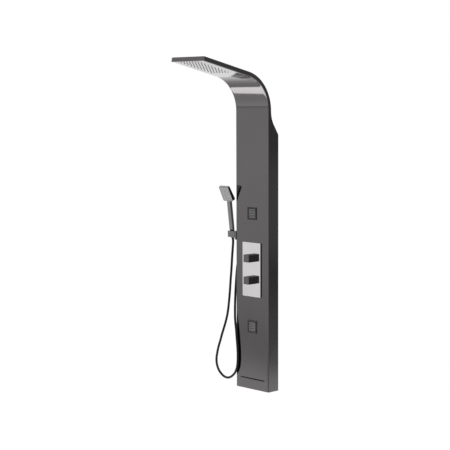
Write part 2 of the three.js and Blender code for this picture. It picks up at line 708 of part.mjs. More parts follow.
function holderArm() {
  const arm = box(HOLDER_END_X, -108 - GAP, ...HOLDER_Y, HOLDER_Z.low, HOLDER_Z.high);
  const taper = (NUT.wide - NUT.narrow) / (NUT.cone + 1 - NUT.tip);
  const seatR = (z) => NUT.narrow + SEAT_CLEARANCE + taper * (z - NUT.tip);
  const seat = moved(rod("z", 8, -40, seatR(8), [0, 0], 20, seatR(-40)), gripFrame);
  const mouth = moved(box(-30, 0, -6.5, 6.5, -40, 20), gripFrame);
  const screwHole = rod("x", -120, -105, SCREW_HOLE_R, [GRIP.y, HOLDER_SCREW_Z], 10);
  return cut(arm, seat, mouth, screwHole);
}

function holderBase() {
  const block = box(-108, -WIDTH / 2 - GAP, ...HOLDER_Y, HOLDER_Z.low - 9, HOLDER_Z.high);
  return cut(block, rod("x", -110, -98, SCREW_HOLE_R, [GRIP.y, HOLDER_SCREW_Z], 10));
}

function holderScrew() {
  const at = [GRIP.y, HOLDER_SCREW_Z];
  const shank = rod("x", -118.5, -96, SCREW_HOLE_R - 0.4, at, 10);
  return join(shank, rod("x", -INSIDE_X + GAP, -94.5, 4.8, at, 12));
}

piece("handset_holder", holderArm(), gunmetal);
piece("holder_base", holderBase(), gunmetal);
piece("holder_screw", holderScrew(), steel);

// ---- Shower hose, from the outlet over the front edge and round a loop to the hand shower ----

// A point on the hand shower's own axis, below its hose nut.
function belowNut(distance) {
  return new THREE.Vector3(0, 0, NUT.tip - distance).applyMatrix4(gripFrame.matrix).toArray();
}

const hoseRoute = [
  [OUTLET.x, OUTLET.y, HOSE_START - GAP],
  [-122, -22, 585],
  [-122, -26, 560],
  [-122, -33, 530],
  [-121, -41, 470],
  [-117, -50, 400],
  [-109, -60, 341],
  [-101.5, -66, 296],
  [-95.6, -66.8, 260],
  [-91, -67, 218],
  [-87, -67, 180],
  [-84.8, -67, 148],
  [-85.3, -67, 120],
  [-87.3, -67, 99.6],
  [-91.9, -66.9, 80.9],
  [-103.6, -66.8, 60.1],
  [-115.9, -66.7, 47.9],
  [-128.9, -66.6, 38.6],
  [-147.2, -66.5, 31.7],
  [-166.1, -66.3, 31.6],
  [-183.8, -66.1, 38],
  [-206.3, -65.9, 54.8],
  [-220.4, -65.8, 80.2],
  [-223.8, -65.8, 107.2],
  [-219.2, -65, 135.2],
  [-212.4, -63.5, 163.4],
  [-203, -61.4, 191.8],
  [-194.4, -59.5, 220],
  [-184.8, -57.3, 248.2],
  [-175.3, -55.2, 276.4],
  [-167.6, -53.4, 304.3],
  [-161.9, -52.2, 332],
  [-158.2, -51.3, 359.4],
  [-152.2, -50, 414.1],
  [-147.9, -49, 468.5],
  [-143.5, -47.6, 522.7],
  [-141, -45.6, 577],
  [-138.4, -43.7, 620],
  belowNut(14),
  belowNut(GAP),
];
piece("shower_hose", tubeAlong(hoseRoute, HOSE_D / 2, 8, 64), blackHose);

// ---- Wall brackets and the hanger rails that hook over them ----

function wallBracket() {
  const plate = box(-60, 60, -2.5, 0, -20, 20);
  const shelf = box(-60, 60, -12, -2.4, 17.5, 20);
  const lip = box(-60, 60, -12, -9.5, 17.5, 29);
  const holes = [-42, 42].map((x) => rod("y", -4, 1, 3, [x, 0], 32));
  return cut(join(plate, shelf, lip), ...holes);
}

function hangerRail() {
  const reach = INSIDE_X - GAP;
  const web = box(-reach, reach, -14.8, -12.3, 8, 31.5);
  const roof = box(-reach, reach, -14.8, -6, 29.4, 31.9);
  const tongue = box(-58, 58, -9.1, -6.6, 21, 31);
  return join(web, roof, tongue);
}

[["upper", BRACKET_Z], ["lower", LOWER_BRACKET_Z]].forEach(([name, z]) => {
  const frame = frameIn(panelFrame, [0, 0, z]);
  piece(`${name}_wall_bracket`, wallBracket(), steel, frame);
  piece(`${name}_hanger_rail`, hangerRail(), steel, frame);
});

export default showerColumn;
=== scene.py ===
"""Rainfall shower column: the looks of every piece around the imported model.

Lengths are in metres. The origin is the middle of the back of the upper wall bracket, +Z is up, the
front faces -Y and +X is the user's right. Heights along the panel are named from its bottom edge.
"""

import math

import bpy
from bpy.props import FloatProperty, FloatVectorProperty, IntProperty, PointerProperty
from mathutils import Matrix, Vector


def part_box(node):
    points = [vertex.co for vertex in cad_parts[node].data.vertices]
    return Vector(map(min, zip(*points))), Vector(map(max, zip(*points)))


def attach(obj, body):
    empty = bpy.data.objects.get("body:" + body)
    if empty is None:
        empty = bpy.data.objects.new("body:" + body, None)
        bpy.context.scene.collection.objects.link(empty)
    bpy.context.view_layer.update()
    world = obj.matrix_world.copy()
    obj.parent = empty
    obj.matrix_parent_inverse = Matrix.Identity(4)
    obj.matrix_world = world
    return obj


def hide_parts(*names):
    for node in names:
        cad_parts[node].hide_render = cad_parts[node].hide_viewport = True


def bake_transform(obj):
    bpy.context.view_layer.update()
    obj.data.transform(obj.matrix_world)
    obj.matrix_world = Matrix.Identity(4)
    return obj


bl_info = {
    "name": "Rainfall shower column",
    "version": (1, 0, 0),
    "blender": (4, 5, 0),
    "location": "View3D > Sidebar > Shower",
    "description": "Builds the visible pieces of a wall-hung shower column around its frame",
    "category": "Add Mesh",
}

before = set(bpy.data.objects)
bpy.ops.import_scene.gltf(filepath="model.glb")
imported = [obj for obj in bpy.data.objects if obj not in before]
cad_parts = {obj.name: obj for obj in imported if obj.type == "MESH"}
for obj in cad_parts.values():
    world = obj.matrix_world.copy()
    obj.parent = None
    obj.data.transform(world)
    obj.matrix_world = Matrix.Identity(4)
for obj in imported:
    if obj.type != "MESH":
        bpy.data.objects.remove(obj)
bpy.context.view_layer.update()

MM = 0.001
BRACKET_HEIGHT = 1000  # millimetres from the panel's bottom edge to the origin
SHEET = 1.5 * MM
GAP = 0.3  # clearance between neighbouring pieces, in millimetres
FRONT = -60  # the panel's front face, in millimetres
STUD_X = 43
STUD_INSET = 12 * MM  # from the plate's ends
VALVE_HOLE = 12 * MM  # radius
JET_CUTOUT = 48.2  # square hole in the sheet
SLOT_HEIGHTS = (44, 50)
SLOT_HALF_WIDTH = 75
OUTLET = (-122, -22, 655)


def at(x, y, z):
    """A point given in millimetres, with its height from the panel's bottom edge."""
    return Vector((x, y, z - BRACKET_HEIGHT)) * MM


def middle(node):
    """The centre of a CAD node's box."""
    low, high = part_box(node)
    return (low + high) / 2


# ---- Settings shown in the sidebar ----


class PanelSizes(bpy.types.PropertyGroup):
    """Sizes of the bent sheet and its rain head."""

    width: FloatProperty(
        name="Width", description="Panel width", default=200 * MM, unit="LENGTH"
    )
    depth: FloatProperty(
        name="Depth", description="Wall to front face", default=60 * MM, unit="LENGTH"
    )
    neck: FloatProperty(
        name="Neck height",
        description="Where the bend starts, from the bottom edge",
        default=1222 * MM,
        unit="LENGTH",
    )
    bend: FloatProperty(
        name="Bend radius", description="Front radius of the bend", default=150 * MM, unit="LENGTH"
    )
    rise: FloatProperty(
        name="Head rise",
        description="Slope of the rain head above level",
        default=math.radians(13),
        subtype="ANGLE",
    )
    head_length: FloatProperty(
        name="Head length", description="Straight part of the head", default=266.5 * MM, unit="LENGTH"
    )
    head_depth: FloatProperty(
        name="Head depth", description="Thickness of the head", default=19 * MM, unit="LENGTH"
    )
    neck_depth: FloatProperty(
        name="Neck depth", description="Thickness at the neck", default=15.6 * MM, unit="LENGTH"
    )
    fold: FloatProperty(
        name="Fold radius", description="Outer radius of the folds", default=1.8 * MM, unit="LENGTH"
    )
    nozzle_columns: IntProperty(name="Nozzle columns", description="Across the head", default=7)
    nozzle_rows: IntProperty(name="Nozzle rows", description="Along the head", default=10)


class FinishColours(bpy.types.PropertyGroup):
    """Colours of the finishes."""

    gunmetal: FloatVectorProperty(
        name="Gunmetal",
        description="Coated sheet and knobs",
        default=(0.168, 0.160, 0.164),
        subtype="COLOR",
    )
    light_gunmetal: FloatVectorProperty(
        name="Light gunmetal",
        description="Hand shower and holder",
        default=(0.235, 0.230, 0.231),
        subtype="COLOR",
    )
    bright_steel: FloatVectorProperty(
        name="Bright steel",
        description="Control plate",
        default=(0.90, 0.885, 0.885),
        subtype="COLOR",
    )
    black: FloatVectorProperty(
        name="Black", description="Hose and jet frames", default=(0.012, 0.012, 0.012), subtype="COLOR"
    )
    # Dark grey of the jet frames: partly their plastic, partly painted shade of the gaps round the jets.
    frame_grey: FloatVectorProperty(
        name="Frame grey",
        description="Frames of the body jets",
        default=(0.042, 0.042, 0.043),
        subtype="COLOR",
    )
    jet_grey: FloatVectorProperty(
        name="Jet grey",
        description="Faces of the body jets",
        default=(0.055, 0.054, 0.054),
        subtype="COLOR",
    )
    slat_grey: FloatVectorProperty(
        name="Slat grey",
        description="Slats of the body jets",
        default=(0.20, 0.197, 0.197),
        subtype="COLOR",
    )
    spray_grey: FloatVectorProperty(
        name="Spray grey",
        description="Face of the hand shower",
        default=(0.36, 0.355, 0.355),
        subtype="COLOR",
    )


class HoseSizes(bpy.types.PropertyGroup):
    """The shower hose."""

    diameter: FloatProperty(name="Diameter", description="Outside", default=10.5 * MM, unit="LENGTH")
    sides: IntProperty(name="Sides", description="Faces round the hose", default=24)


class ColumnSettings(bpy.types.PropertyGroup):
    """All the settings of the shower column."""

    panel: PointerProperty(type=PanelSizes)
    colours: PointerProperty(type=FinishColours)
    hose: PointerProperty(type=HoseSizes)


def settings():
    return bpy.context.scene.shower_column


# ---- Modelling helpers ----


def rest():
    """Leaves edit mode and selects nothing."""
    if bpy.context.mode != "OBJECT":
        bpy.ops.object.mode_set(mode="OBJECT")
    bpy.ops.object.select_all(action="DESELECT")


def take(piece):
    """Makes piece the only selected object."""
    rest()
    piece.select_set(True)
    bpy.context.view_layer.objects.active = piece
    return piece


def named(name):
    """Names the object just added, and keeps its place in its mesh."""
    piece = bpy.context.active_object
    take(piece)
    bpy.ops.object.transform_apply(location=True, rotation=True, scale=True)
    piece.name = name
    piece.data.name = name
    return piece


def block(name, low, high):
    rest()
    low = Vector(low)
    high = Vector(high)
    bpy.ops.mesh.primitive_cube_add(size=1, location=(low + high) / 2, scale=high - low)
    return named(name)


def rod(name, start, end, radius, end_radius=None, sides=48):
    """A round bar or cone from one point to another."""
    rest()
    start = Vector(start)
    end = Vector(end)
    along = end - start
    bpy.ops.mesh.primitive_cone_add(
        vertices=sides,
        radius1=radius,
        radius2=radius if end_radius is None else end_radius,
        depth=along.length,
        location=(start + end) / 2,
        rotation=along.to_track_quat("Z", "Y").to_euler(),
    )
    return named(name)


def ball(name, centre, radius, segments=32, rings=16):
    rest()
    bpy.ops.mesh.primitive_uv_sphere_add(
        segments=segments, ring_count=rings, radius=radius, location=centre
    )
    return named(name)


def edit(piece, kind="FACE"):
    """Enters edit mode with nothing selected."""
    take(piece)
    bpy.ops.object.mode_set(mode="EDIT")
    bpy.ops.mesh.select_mode(type=kind)
    bpy.ops.mesh.select_all(action="DESELECT")
    bpy.ops.object.mode_set(mode="OBJECT")


def pick_faces(piece, test):
    """Enters edit mode with the faces selected that pass test(centre, normal)."""
    edit(piece, "FACE")
    for face in piece.data.polygons:
        face.select = test(face.center, face.normal)
    bpy.ops.object.mode_set(mode="EDIT")


def pick_edges(piece, test):
    """Enters edit mode with the edges selected that pass test(start, end)."""
    edit(piece, "EDGE")
    points = piece.data.vertices
    for line in piece.data.edges:
        start, end = (points[i].co for i in line.vertices)
        line.select = test(start, end)
    bpy.ops.object.mode_set(mode="EDIT")


def modify(piece, kind, **values):
    """Adds a modifier with those values and applies it."""
    take(piece)
    modifier = piece.modifiers.new(kind, kind)
    for key, value in values.items():
        setattr(modifier, key, value)
    bpy.ops.object.modifier_apply(modifier=modifier.name)
    return piece


def round_edges(piece, radius, segments=3, angle=35):
    return modify(
        piece,
        "BEVEL",
        width=radius,
        segments=segments,
        limit_method="ANGLE",
        angle_limit=math.radians(angle),
        use_clamp_overlap=True,
        miter_outer="MITER_ARC",
    )


def smooth(piece, angle=35):
    """Smooth shading that keeps flat faces flat."""
    take(piece)
    bpy.ops.object.shade_smooth_by_angle(angle=math.radians(angle))
    return modify(piece, "WEIGHTED_NORMAL", keep_sharp=True, weight=50)


def joined(*parts):
    """Joins the parts into the first one as loose shells."""
    take(parts[0])
    for part in parts:
        part.select_set(True)
    bpy.ops.object.join()
    return parts[0]


def combine(piece, tool, operation):
    """Adds or cuts away the tool, which is then removed."""
    modify(piece, "BOOLEAN", object=tool, operation=operation, solver="EXACT")
    bpy.data.objects.remove(tool)
    return piece


def cut(piece, *tools):
    return combine(piece, joined(*tools), "DIFFERENCE")


def fuse(piece, *others):
    for other in others:
        combine(piece, other, "UNION")
    return piece


def repeat(piece, count, step):
    """Copies the piece in a row, in its own mesh."""
    return modify(
        piece,
        "ARRAY",
        count=count,
        use_relative_offset=False,
        use_constant_offset=True,
        constant_offset_displace=step,
    )


def place(piece, matrix):
    """Moves a piece modelled in a part's own frame to the row frame."""
    take(piece)
    piece.matrix_world = matrix
    bpy.ops.object.transform_apply(location=True, rotation=True, scale=True)
    return piece


def refined(node, name):
    """A merged copy of a CAD node, with its flat faces whole again."""
    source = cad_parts[node]
    piece = bpy.data.objects.new(name, source.data.copy())
    piece.data.name = name
    bpy.context.scene.collection.objects.link(piece)
    edit(piece, "VERT")
    bpy.ops.object.mode_set(mode="EDIT")
    bpy.ops.mesh.select_all(action="SELECT")
    bpy.ops.mesh.remove_doubles(threshold=0.00002)
    bpy.ops.mesh.customdata_custom_splitnormals_clear()
    bpy.ops.mesh.dissolve_limited(angle_limit=math.radians(1))
    rest()
    return piece


def hand_over(piece, material, slot, body, *nodes):
    """Gives a finished piece its material, its body and the nodes that it stands for. The slot is not
    used.
    """
    piece.data.materials.clear()
    piece.data.materials.append(material)
    if nodes:
        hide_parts(*nodes)
    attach(piece, body)
    return piece


# ---- Materials ----


def blank(name):
    """A new node material: its tree and its shader."""
    material = bpy.data.materials.new(name)
    material.use_nodes = True
    tree = material.node_tree
    return material, tree, tree.nodes["Principled BSDF"]


def grain(tree, scale, stretch=(1, 1, 1), detail=3):
    """A noise on the piece's own coordinates."""
    place_node = tree.nodes.new("ShaderNodeTexCoord")
    mapping = tree.nodes.new("ShaderNodeMapping")
    mapping.inputs["Scale"].default_value = stretch
    noise = tree.nodes.new("ShaderNodeTexNoise")
    noise.inputs["Scale"].default_value = scale
    noise.inputs["Detail"].default_value = detail
    tree.links.new(place_node.outputs["Object"], mapping.inputs["Vector"])
    tree.links.new(mapping.outputs["Vector"], noise.inputs["Vector"])
    return noise.outputs["Fac"]


def spread(tree, source, low, high):
    """Turns a noise into values from low to high."""
    node = tree.nodes.new("ShaderNodeMapRange")
    node.inputs["From Min"].default_value = 0.3
    node.inputs["From Max"].default_value = 0.7
    node.inputs["To Min"].default_value = low
    node.inputs["To Max"].default_value = high
    tree.links.new(source, node.inputs["Value"])
    return node.outputs["Result"]


def tint(tree, source, colour, amount):
    """The colour, a little darker and lighter with the noise."""
    node = tree.nodes.new("ShaderNodeMix")
    node.data_type = "RGBA"
    node.inputs["A"].default_value = (*(channel * (1 - amount) for channel in colour), 1)
    node.inputs["B"].default_value = (*(channel * (1 + amount) for channel in colour), 1)
    tree.links.new(spread(tree, source, 0, 1), node.inputs["Factor"])
    return node.outputs["Result"]


def relief(tree, source, strength, distance):
    node = tree.nodes.new("ShaderNodeBump")
    node.inputs["Strength"].default_value = strength
    node.inputs["Distance"].default_value = distance
    tree.links.new(source, node.inputs["Height"])
    return node.outputs["Normal"]


def metal(name, colour, roughness, vary, brush, depth):
    """Metal with fine brush lines, cloudy polish and slight changes of tone."""
    material, tree, shader = blank(name)
    shader.inputs["Metallic"].default_value = 1
    lines = grain(tree, 1, brush)
    clouds = grain(tree, 9)
    tree.links.new(tint(tree, clouds, colour, 0.025), shader.inputs["Base Color"])
    total = tree.nodes.new("ShaderNodeMath")
    total.operation = "ADD"
    tree.links.new(spread(tree, lines, roughness - vary, roughness + vary), total.inputs[0])
    tree.links.new(spread(tree, clouds, -vary / 2, vary / 2), total.inputs[1])
    tree.links.new(total.outputs["Value"], shader.inputs["Roughness"])
    tree.links.new(relief(tree, lines, depth, 0.0001), shader.inputs["Normal"])
    return material


def plastic(name, colour, roughness, texture, depth, specular=0.5):
    """Moulded plastic or rubber with a fine skin."""
    material, tree, shader = blank(name)
    shader.inputs["Specular IOR Level"].default_value = specular
    skin = grain(tree, texture)
    clouds = grain(tree, 30)
    tree.links.new(tint(tree, clouds, colour, 0.05), shader.inputs["Base Color"])
    tree.links.new(spread(tree, skin, roughness - 0.05, roughness + 0.05), shader.inputs["Roughness"])
    tree.links.new(relief(tree, skin, depth, 0.00005), shader.inputs["Normal"])
    return material


FINISHES = {}


def make_finishes():
    colours = settings().colours
    along_sheet = (900, 7, 7)
    fine = (600, 600, 60)
    FINISHES.update(
        gunmetal=metal("coated_gunmetal", colours.gunmetal, 0.09, 0.02, along_sheet, 0.05),
        light_gunmetal=metal("light_gunmetal", colours.light_gunmetal, 0.18, 0.03, fine, 0.04),
        mirror_steel=metal("bright_steel", colours.bright_steel, 0.07, 0.02, along_sheet, 0.03),
        steel=metal("zinc_plated_steel", (0.52, 0.52, 0.53), 0.38, 0.08, fine, 0.15),
        brass=metal("cast_brass", (0.63, 0.46, 0.22), 0.34, 0.08, (300, 300, 300), 0.25),
        black=plastic("black_plastic", colours.black, 0.36, 900, 0.15, 0.25),
        # The jet frames' plastic, darkened with painted shade of the gaps round them.
        frame_grey=plastic("jet_frame_gap_shade", colours.frame_grey, 0.36, 900, 0.12, 0.3),
        jet_grey=plastic("jet_plastic", colours.jet_grey, 0.38, 900, 0.15),
        slat_grey=plastic("slat_plastic", colours.slat_grey, 0.30, 900, 0.12),
        spray_grey=plastic("spray_plastic", colours.spray_grey, 0.40, 900, 0.12),
        pale=plastic("pale_plastic", (0.66, 0.66, 0.62), 0.48, 500, 0.2),
        silicone=plastic("nozzle_silicone", (0.16, 0.158, 0.16), 0.60, 700, 0.25, 0.35),
        rubber=plastic("washer_rubber", (0.018, 0.018, 0.018), 0.75, 500, 0.3, 0.3),
        hose=plastic("hose_skin", (0.024, 0.024, 0.024), 0.45, 1200, 0.1, 0.1),
    )


# ---- Stage: camera, room, floor and light ----

CAMERA_PLACE = (4.0052, -4.0545, 0.26105)
CAMERA_YAW = math.radians(46.276)
CAMERA_PITCH = math.radians(5.384)
CAMERA_ROLL = math.radians(-0.197)
CAMERA_LENS = 104.35
ROOM_SCALE = 4.0  # the ramps hold brightness divided by this
FLOOR_HEIGHT = -1.6

# Brightness of the room on the user's left, by the angle downwards from the front, in degrees.
LEFT_ROOM = (
    (-180, 0.6),
    (-176, 0.25),
    (-166, 0.2),
    (-155, 0.9),
    (-90, 1.2),
    (-40, 0.9),
    (-18, 0.5),
    (-14, 0.12),
    (-5, 0.12),
    (-2, 0.7),
    (0, 0.77),
    (5, 0.77),
    (9, 0.70),
    (12.2, 0.68),
    (14.0, 0.52),
    (15.2, 0.46),
    (16.1, 0.46),
    (16.4, 0.97),
    (22, 0.93),
    (40, 0.77),
    (84, 0.77),
    (87, 0.6),
    (100, 0.67),
    (110, 0.75),
    (120, 0.98),
    (130, 1.2),
    (150, 1.2),
    (155, 1.7),
    (168, 1.8),
    (174, 1.2),
    (180, 0.6),
)
# Behind on the right, by elevation in degrees.
RIGHT_BACK_ROOM = (
    (-90, 0.9),
    (-20, 0.8),
    (-12.1, 1.0),
    (-11.7, 0.24),
    (-9.0, 0.22),
    (-8.2, 0.13),
    (-7.2, 0.13),
    (-6.4, 0.24),
    (-3.0, 0.24),
    (-2.2, 0.14),
    (-1.0, 0.14),
    (0.5, 0.2),
    (12, 0.4),
    (30, 0.9),
    (90, 1.1),
)
# In front on the right, by elevation in degrees.
RIGHT_FRONT_ROOM = (
    (-90, 0.9),
    (-30, 0.75),
    (-15, 0.3),
    (-11, 0.12),
    (10, 0.12),
    (24, 0.8),
    (90, 1.1),
)


PATCH_SLANT = (0.955, 0.298, -1.292)  # the patch lies where x * first + y * second is over the third
PATCH_END = 85  # degrees downwards from the front
PATCH_BRIGHTNESS = 3.4
PATCH_BELOW = (-0.22, -0.3)
PATCH_LEFT = (-0.25, -0.35)


def ramp(tree, source, low, high, stops):
    """Brightness along stops given from low to high."""
    scale = tree.nodes.new("ShaderNodeMapRange")
    scale.inputs["From Min"].default_value = low
    scale.inputs["From Max"].default_value = high
    tree.links.new(source, scale.inputs["Value"])
    node = tree.nodes.new("ShaderNodeValToRGB")
    elements = node.color_ramp.elements
    while len(elements) < len(stops):
        elements.new(0.5)
    for element, (position, value) in zip(elements, stops):
        element.position = (position - low) / (high - low)
        shade = value / ROOM_SCALE
        element.color = (shade, shade, shade, 1)
    tree.links.new(scale.outputs["Result"], node.inputs["Fac"])
    return node.outputs["Color"]


def calculate(tree, operation, first, second=None):
    node = tree.nodes.new("ShaderNodeMath")
    node.operation = operation
    for socket, value in zip(node.inputs, (first, second)):
        if value is None:
            continue
        if isinstance(value, (int, float)):
            socket.default_value = value
        else:
            tree.links.new(value, socket)
    return node.outputs["Value"]


def crossfade(tree, source, low, high, first, second):
    """The first colour below low, the second above high."""
    scale = tree.nodes.new("ShaderNodeMapRange")
    scale.inputs["From Min"].default_value = low
    scale.inputs["From Max"].default_value = high
    tree.links.new(source, scale.inputs["Value"])
    node = tree.nodes.new("ShaderNodeMix")
    node.data_type = "RGBA"
    tree.links.new(scale.outputs["Result"], node.inputs["Factor"])
    tree.links.new(first, node.inputs["A"])
    tree.links.new(second, node.inputs["B"])
    return node.outputs["Result"]


def brighten_patch(tree, room, across, back, up, turn):
    """A bright patch on the floor at the left, with one slanted side."""
    depth = calculate(tree, "MAXIMUM", calculate(tree, "MULTIPLY", up, -1), 0.05)
    floor_x = calculate(tree, "DIVIDE", across, depth)
    floor_y = calculate(tree, "DIVIDE", back, depth)
    slant = calculate(
        tree,
        "ADD",
        calculate(tree, "MULTIPLY", floor_x, PATCH_SLANT[0]),
        calculate(tree, "MULTIPLY", floor_y, PATCH_SLANT[1]),
    )
    inside = gate(tree, slant, PATCH_SLANT[2] - 0.02, PATCH_SLANT[2] + 0.02)
    far = gate(tree, calculate(tree, "DEGREES", turn), PATCH_END + 1, PATCH_END - 1)
    low = gate(tree, up, *PATCH_BELOW)
    near = gate(tree, across, *PATCH_LEFT)
    strength = inside
    for other in (far, low, near):
        strength = calculate(tree, "MULTIPLY", strength, other)
    node = tree.nodes.new("ShaderNodeMix")
    node.data_type = "RGBA"
    shade = PATCH_BRIGHTNESS / ROOM_SCALE
    node.inputs["B"].default_value = (shade, shade, shade, 1)
    tree.links.new(room, node.inputs["A"])
    tree.links.new(strength, node.inputs["Factor"])
    return node.outputs["Result"]


def gate(tree, source, start, end):
    """0 before start, 1 after end."""
    node = tree.nodes.new("ShaderNodeMapRange")
    node.inputs["From Min"].default_value = start
    node.inputs["From Max"].default_value = end
    tree.links.new(source, node.inputs["Value"])
    return node.outputs["Result"]


def make_room():
    """A soft studio round the object, white where the camera looks straight at it."""
    world = bpy.data.worlds.new("studio")
    bpy.context.scene.world = world
    world.use_nodes = True
    tree = world.node_tree
    background = tree.nodes["Background"]
    direction = tree.nodes.new("ShaderNodeTexCoord")
    parts = tree.nodes.new("ShaderNodeSeparateXYZ")
    tree.links.new(direction.outputs["Generated"], parts.inputs["Vector"])
    across, back, up = (parts.outputs[axis] for axis in "XYZ")
    down = calculate(tree, "MULTIPLY", up, -1)
    forward = calculate(tree, "MULTIPLY", back, -1)
    turn = calculate(tree, "ARCTAN2", down, forward)
    rise = calculate(tree, "ARCSINE", up)
    left = ramp(tree, calculate(tree, "DEGREES", turn), -180, 180, LEFT_ROOM)
    elevation = calculate(tree, "DEGREES", rise)
    left = brighten_patch(tree, left, across, back, up, turn)
    right_back = ramp(tree, elevation, -90, 90, RIGHT_BACK_ROOM)
    right_front = ramp(tree, elevation, -90, 90, RIGHT_FRONT_ROOM)
    right = crossfade(tree, back, -0.3, 0.1, right_front, right_back)
    room = crossfade(tree, across, -0.25, 0.25, left, right)
    tree.links.new(room, background.inputs["Color"])
    background.inputs["Strength"].default_value = ROOM_SCALE
    white = tree.nodes.new("ShaderNodeBackground")
    white.inputs["Color"].default_value = (1, 1, 1, 1)
    path = tree.nodes.new("ShaderNodeLightPath")
    mix = tree.nodes.new("ShaderNodeMixShader")
    tree.links.new(path.outputs["Is Camera Ray"], mix.inputs["Fac"])
    tree.links.new(background.outputs["Background"], mix.inputs[1])
    tree.links.new(white.outputs["Background"], mix.inputs[2])
    tree.links.new(mix.outputs["Shader"], tree.nodes["World Output"].inputs["Surface"])


def make_camera():
    forward = Vector((-math.sin(CAMERA_YAW), math.cos(CAMERA_YAW), 0)) * math.cos(CAMERA_PITCH)
    forward.z = -math.sin(CAMERA_PITCH)
    right = Vector((math.cos(CAMERA_YAW), math.sin(CAMERA_YAW), 0))
    upward = right.cross(forward)
    rolled = right * math.cos(CAMERA_ROLL) + upward * math.sin(CAMERA_ROLL)
    top = upward * math.cos(CAMERA_ROLL) - right * math.sin(CAMERA_ROLL)
    rest()
    bpy.ops.object.camera_add(location=CAMERA_PLACE)
    camera = bpy.context.active_object
    camera.name = "camera"
    turn = Matrix((rolled, top, -forward)).transposed().to_4x4()
    camera.matrix_world = Matrix.Translation(CAMERA_PLACE) @ turn
    camera.data.lens = CAMERA_LENS
    camera.data.sensor_width = 36
    camera.data.clip_end = 50
    bpy.context.scene.camera = camera


def make_floor():
    rest()
    bpy.ops.mesh.primitive_plane_add(size=14, location=(0, 0, FLOOR_HEIGHT))
    floor = named("floor")
    material, tree, shader = blank("floor_white")
    clouds = grain(tree, 2)
    tree.links.new(tint(tree, clouds, (0.02, 0.02, 0.02), 0.01), shader.inputs["Base Color"])
    shader.inputs["Specular IOR Level"].default_value = 0
    shader.inputs["Roughness"].default_value = 0.8
    shader.inputs["Emission Color"].default_value = (1, 1, 1, 1)
    shader.inputs["Emission Strength"].default_value = 1.0
    floor.data.materials.append(material)
    floor.visible_glossy = False


def make_light(name, place_point, aim, size, power):
    rest()
    bpy.ops.object.light_add(type="AREA", location=place_point)
    lamp = bpy.context.active_object
    lamp.name = name
    lamp.data.shape = "DISK"
    lamp.data.size = size
    lamp.data.energy = power
    lamp.visible_glossy = False
    lamp.rotation_euler = (Vector(aim) - Vector(place_point)).to_track_quat("-Z", "Y").to_euler()


class SHOWER_OT_stage(bpy.types.Operator):
    """Camera, white room, pale floor and soft light"""

    bl_idname = "shower.stage"
    bl_label = "Stage"

    def execute(self, context):
        context.scene.view_settings.view_transform = "Standard"
        make_finishes()
        make_camera()
        make_room()
        make_floor()
        make_light("soft_front", (-2.2, -3.0, 1.6), (0, 0, -0.4), 2.0, 25)
        return {"FINISHED"}


# ---- Hose ----

GRIP = (-136.5, -49.5, 694)
GRIP_TILT = math.radians(7)
SPRAY_TILT = math.radians(18.7)
HOLDER_SCREW = (-49.5, 680)  # across and up
SCREW_HOLE = 2.8 * MM
MOUTH = 6.5 * MM  # half the width of the holder's open side
NUT_TIP = -34
NUT_TIP_RADIUS = 7.4
NUT_TOP_RADIUS = 10
NUT_TAPER = (NUT_TOP_RADIUS - NUT_TIP_RADIUS) / 36.2
SEAT_CLEARANCE = 0.35
HOSE_START = 610.4

GRIP_FRAME = Matrix.Translation(at(*GRIP)) @ Matrix.Rotation(GRIP_TILT, 4, "X")


def below_nut(distance):
    """A point on the hand shower's axis, that many millimetres below its hose nut."""
    return GRIP_FRAME @ Vector((0, 0, (NUT_TIP - distance) * MM))


# The hose's way in millimetres: out of the elbow, over the panel's front edge, down its front, round the
# loop beside it and up to the hand shower.
HOSE_WAY = (
    (-122, -22, HOSE_START),
    (-122, -22, 585),
    (-122, -26, 560),
    (-122, -33, 530),
    (-121, -41, 470),
    (-117, -50, 400),
    (-109, -60, 341),
    (-101.5, -66, 296),
    (-95.6, -66.8, 260),
    (-91, -67, 218),
    (-87, -67, 180),
    (-84.8, -67, 148),
    (-85.3, -67, 120),
    (-87.3, -67, 99.6),
    (-91.9, -66.9, 80.9),
    (-103.6, -66.8, 60.1),
    (-115.9, -66.7, 47.9),
    (-128.9, -66.6, 38.6),
    (-147.2, -66.5, 31.7),
    (-166.1, -66.3, 31.6),
    (-183.8, -66.1, 38),
    (-206.3, -65.9, 54.8),
    (-220.4, -65.8, 80.2),
    (-223.8, -65.8, 107.2),
    (-219.2, -65, 135.2),
    (-212.4, -63.5, 163.4),
    (-203, -61.4, 191.8),
    (-194.4, -59.5, 220),
    (-184.8, -57.3, 248.2),
    (-175.3, -55.2, 276.4),
    (-167.6, -53.4, 304.3),
    (-161.9, -52.2, 332),
    (-158.2, -51.3, 359.4),
    (-152.2, -50, 414.1),
    (-147.9, -49, 468.5),
    (-143.5, -47.6, 522.7),
    (-141, -45.6, 577),
    (-138.4, -43.7, 620),
)


def flowing(points, per_span):
    """A smooth curve through the points, evenly loose between near and far ones."""
    ends = [points[0] * 2 - points[1], *points, points[-1] * 2 - points[-2]]
    path = []
    for i in range(1, len(ends) - 2):
        p0, p1, p2, p3 = ends[i - 1 : i + 3]
        gaps = [max((b - a).length, 1e-9) ** 0.5 for a, b in ((p0, p1), (p1, p2), (p2, p3))]
        start = ((p1 - p0) / gaps[0] - (p2 - p0) / (gaps[0] + gaps[1]) + (p2 - p1) / gaps[1]) * gaps[1]
        end = ((p2 - p1) / gaps[1] - (p3 - p1) / (gaps[1] + gaps[2]) + (p3 - p2) / gaps[2]) * gaps[1]
        for k in range(per_span):
            t = k / per_span
            path.append(
                p1 * (2 * t**3 - 3 * t**2 + 1)
                + start * (t**3 - 2 * t**2 + t)
                + p2 * (3 * t**2 - 2 * t**3)
                + end * (t**3 - t**2)
            )
    path.append(points[-1])
    return path


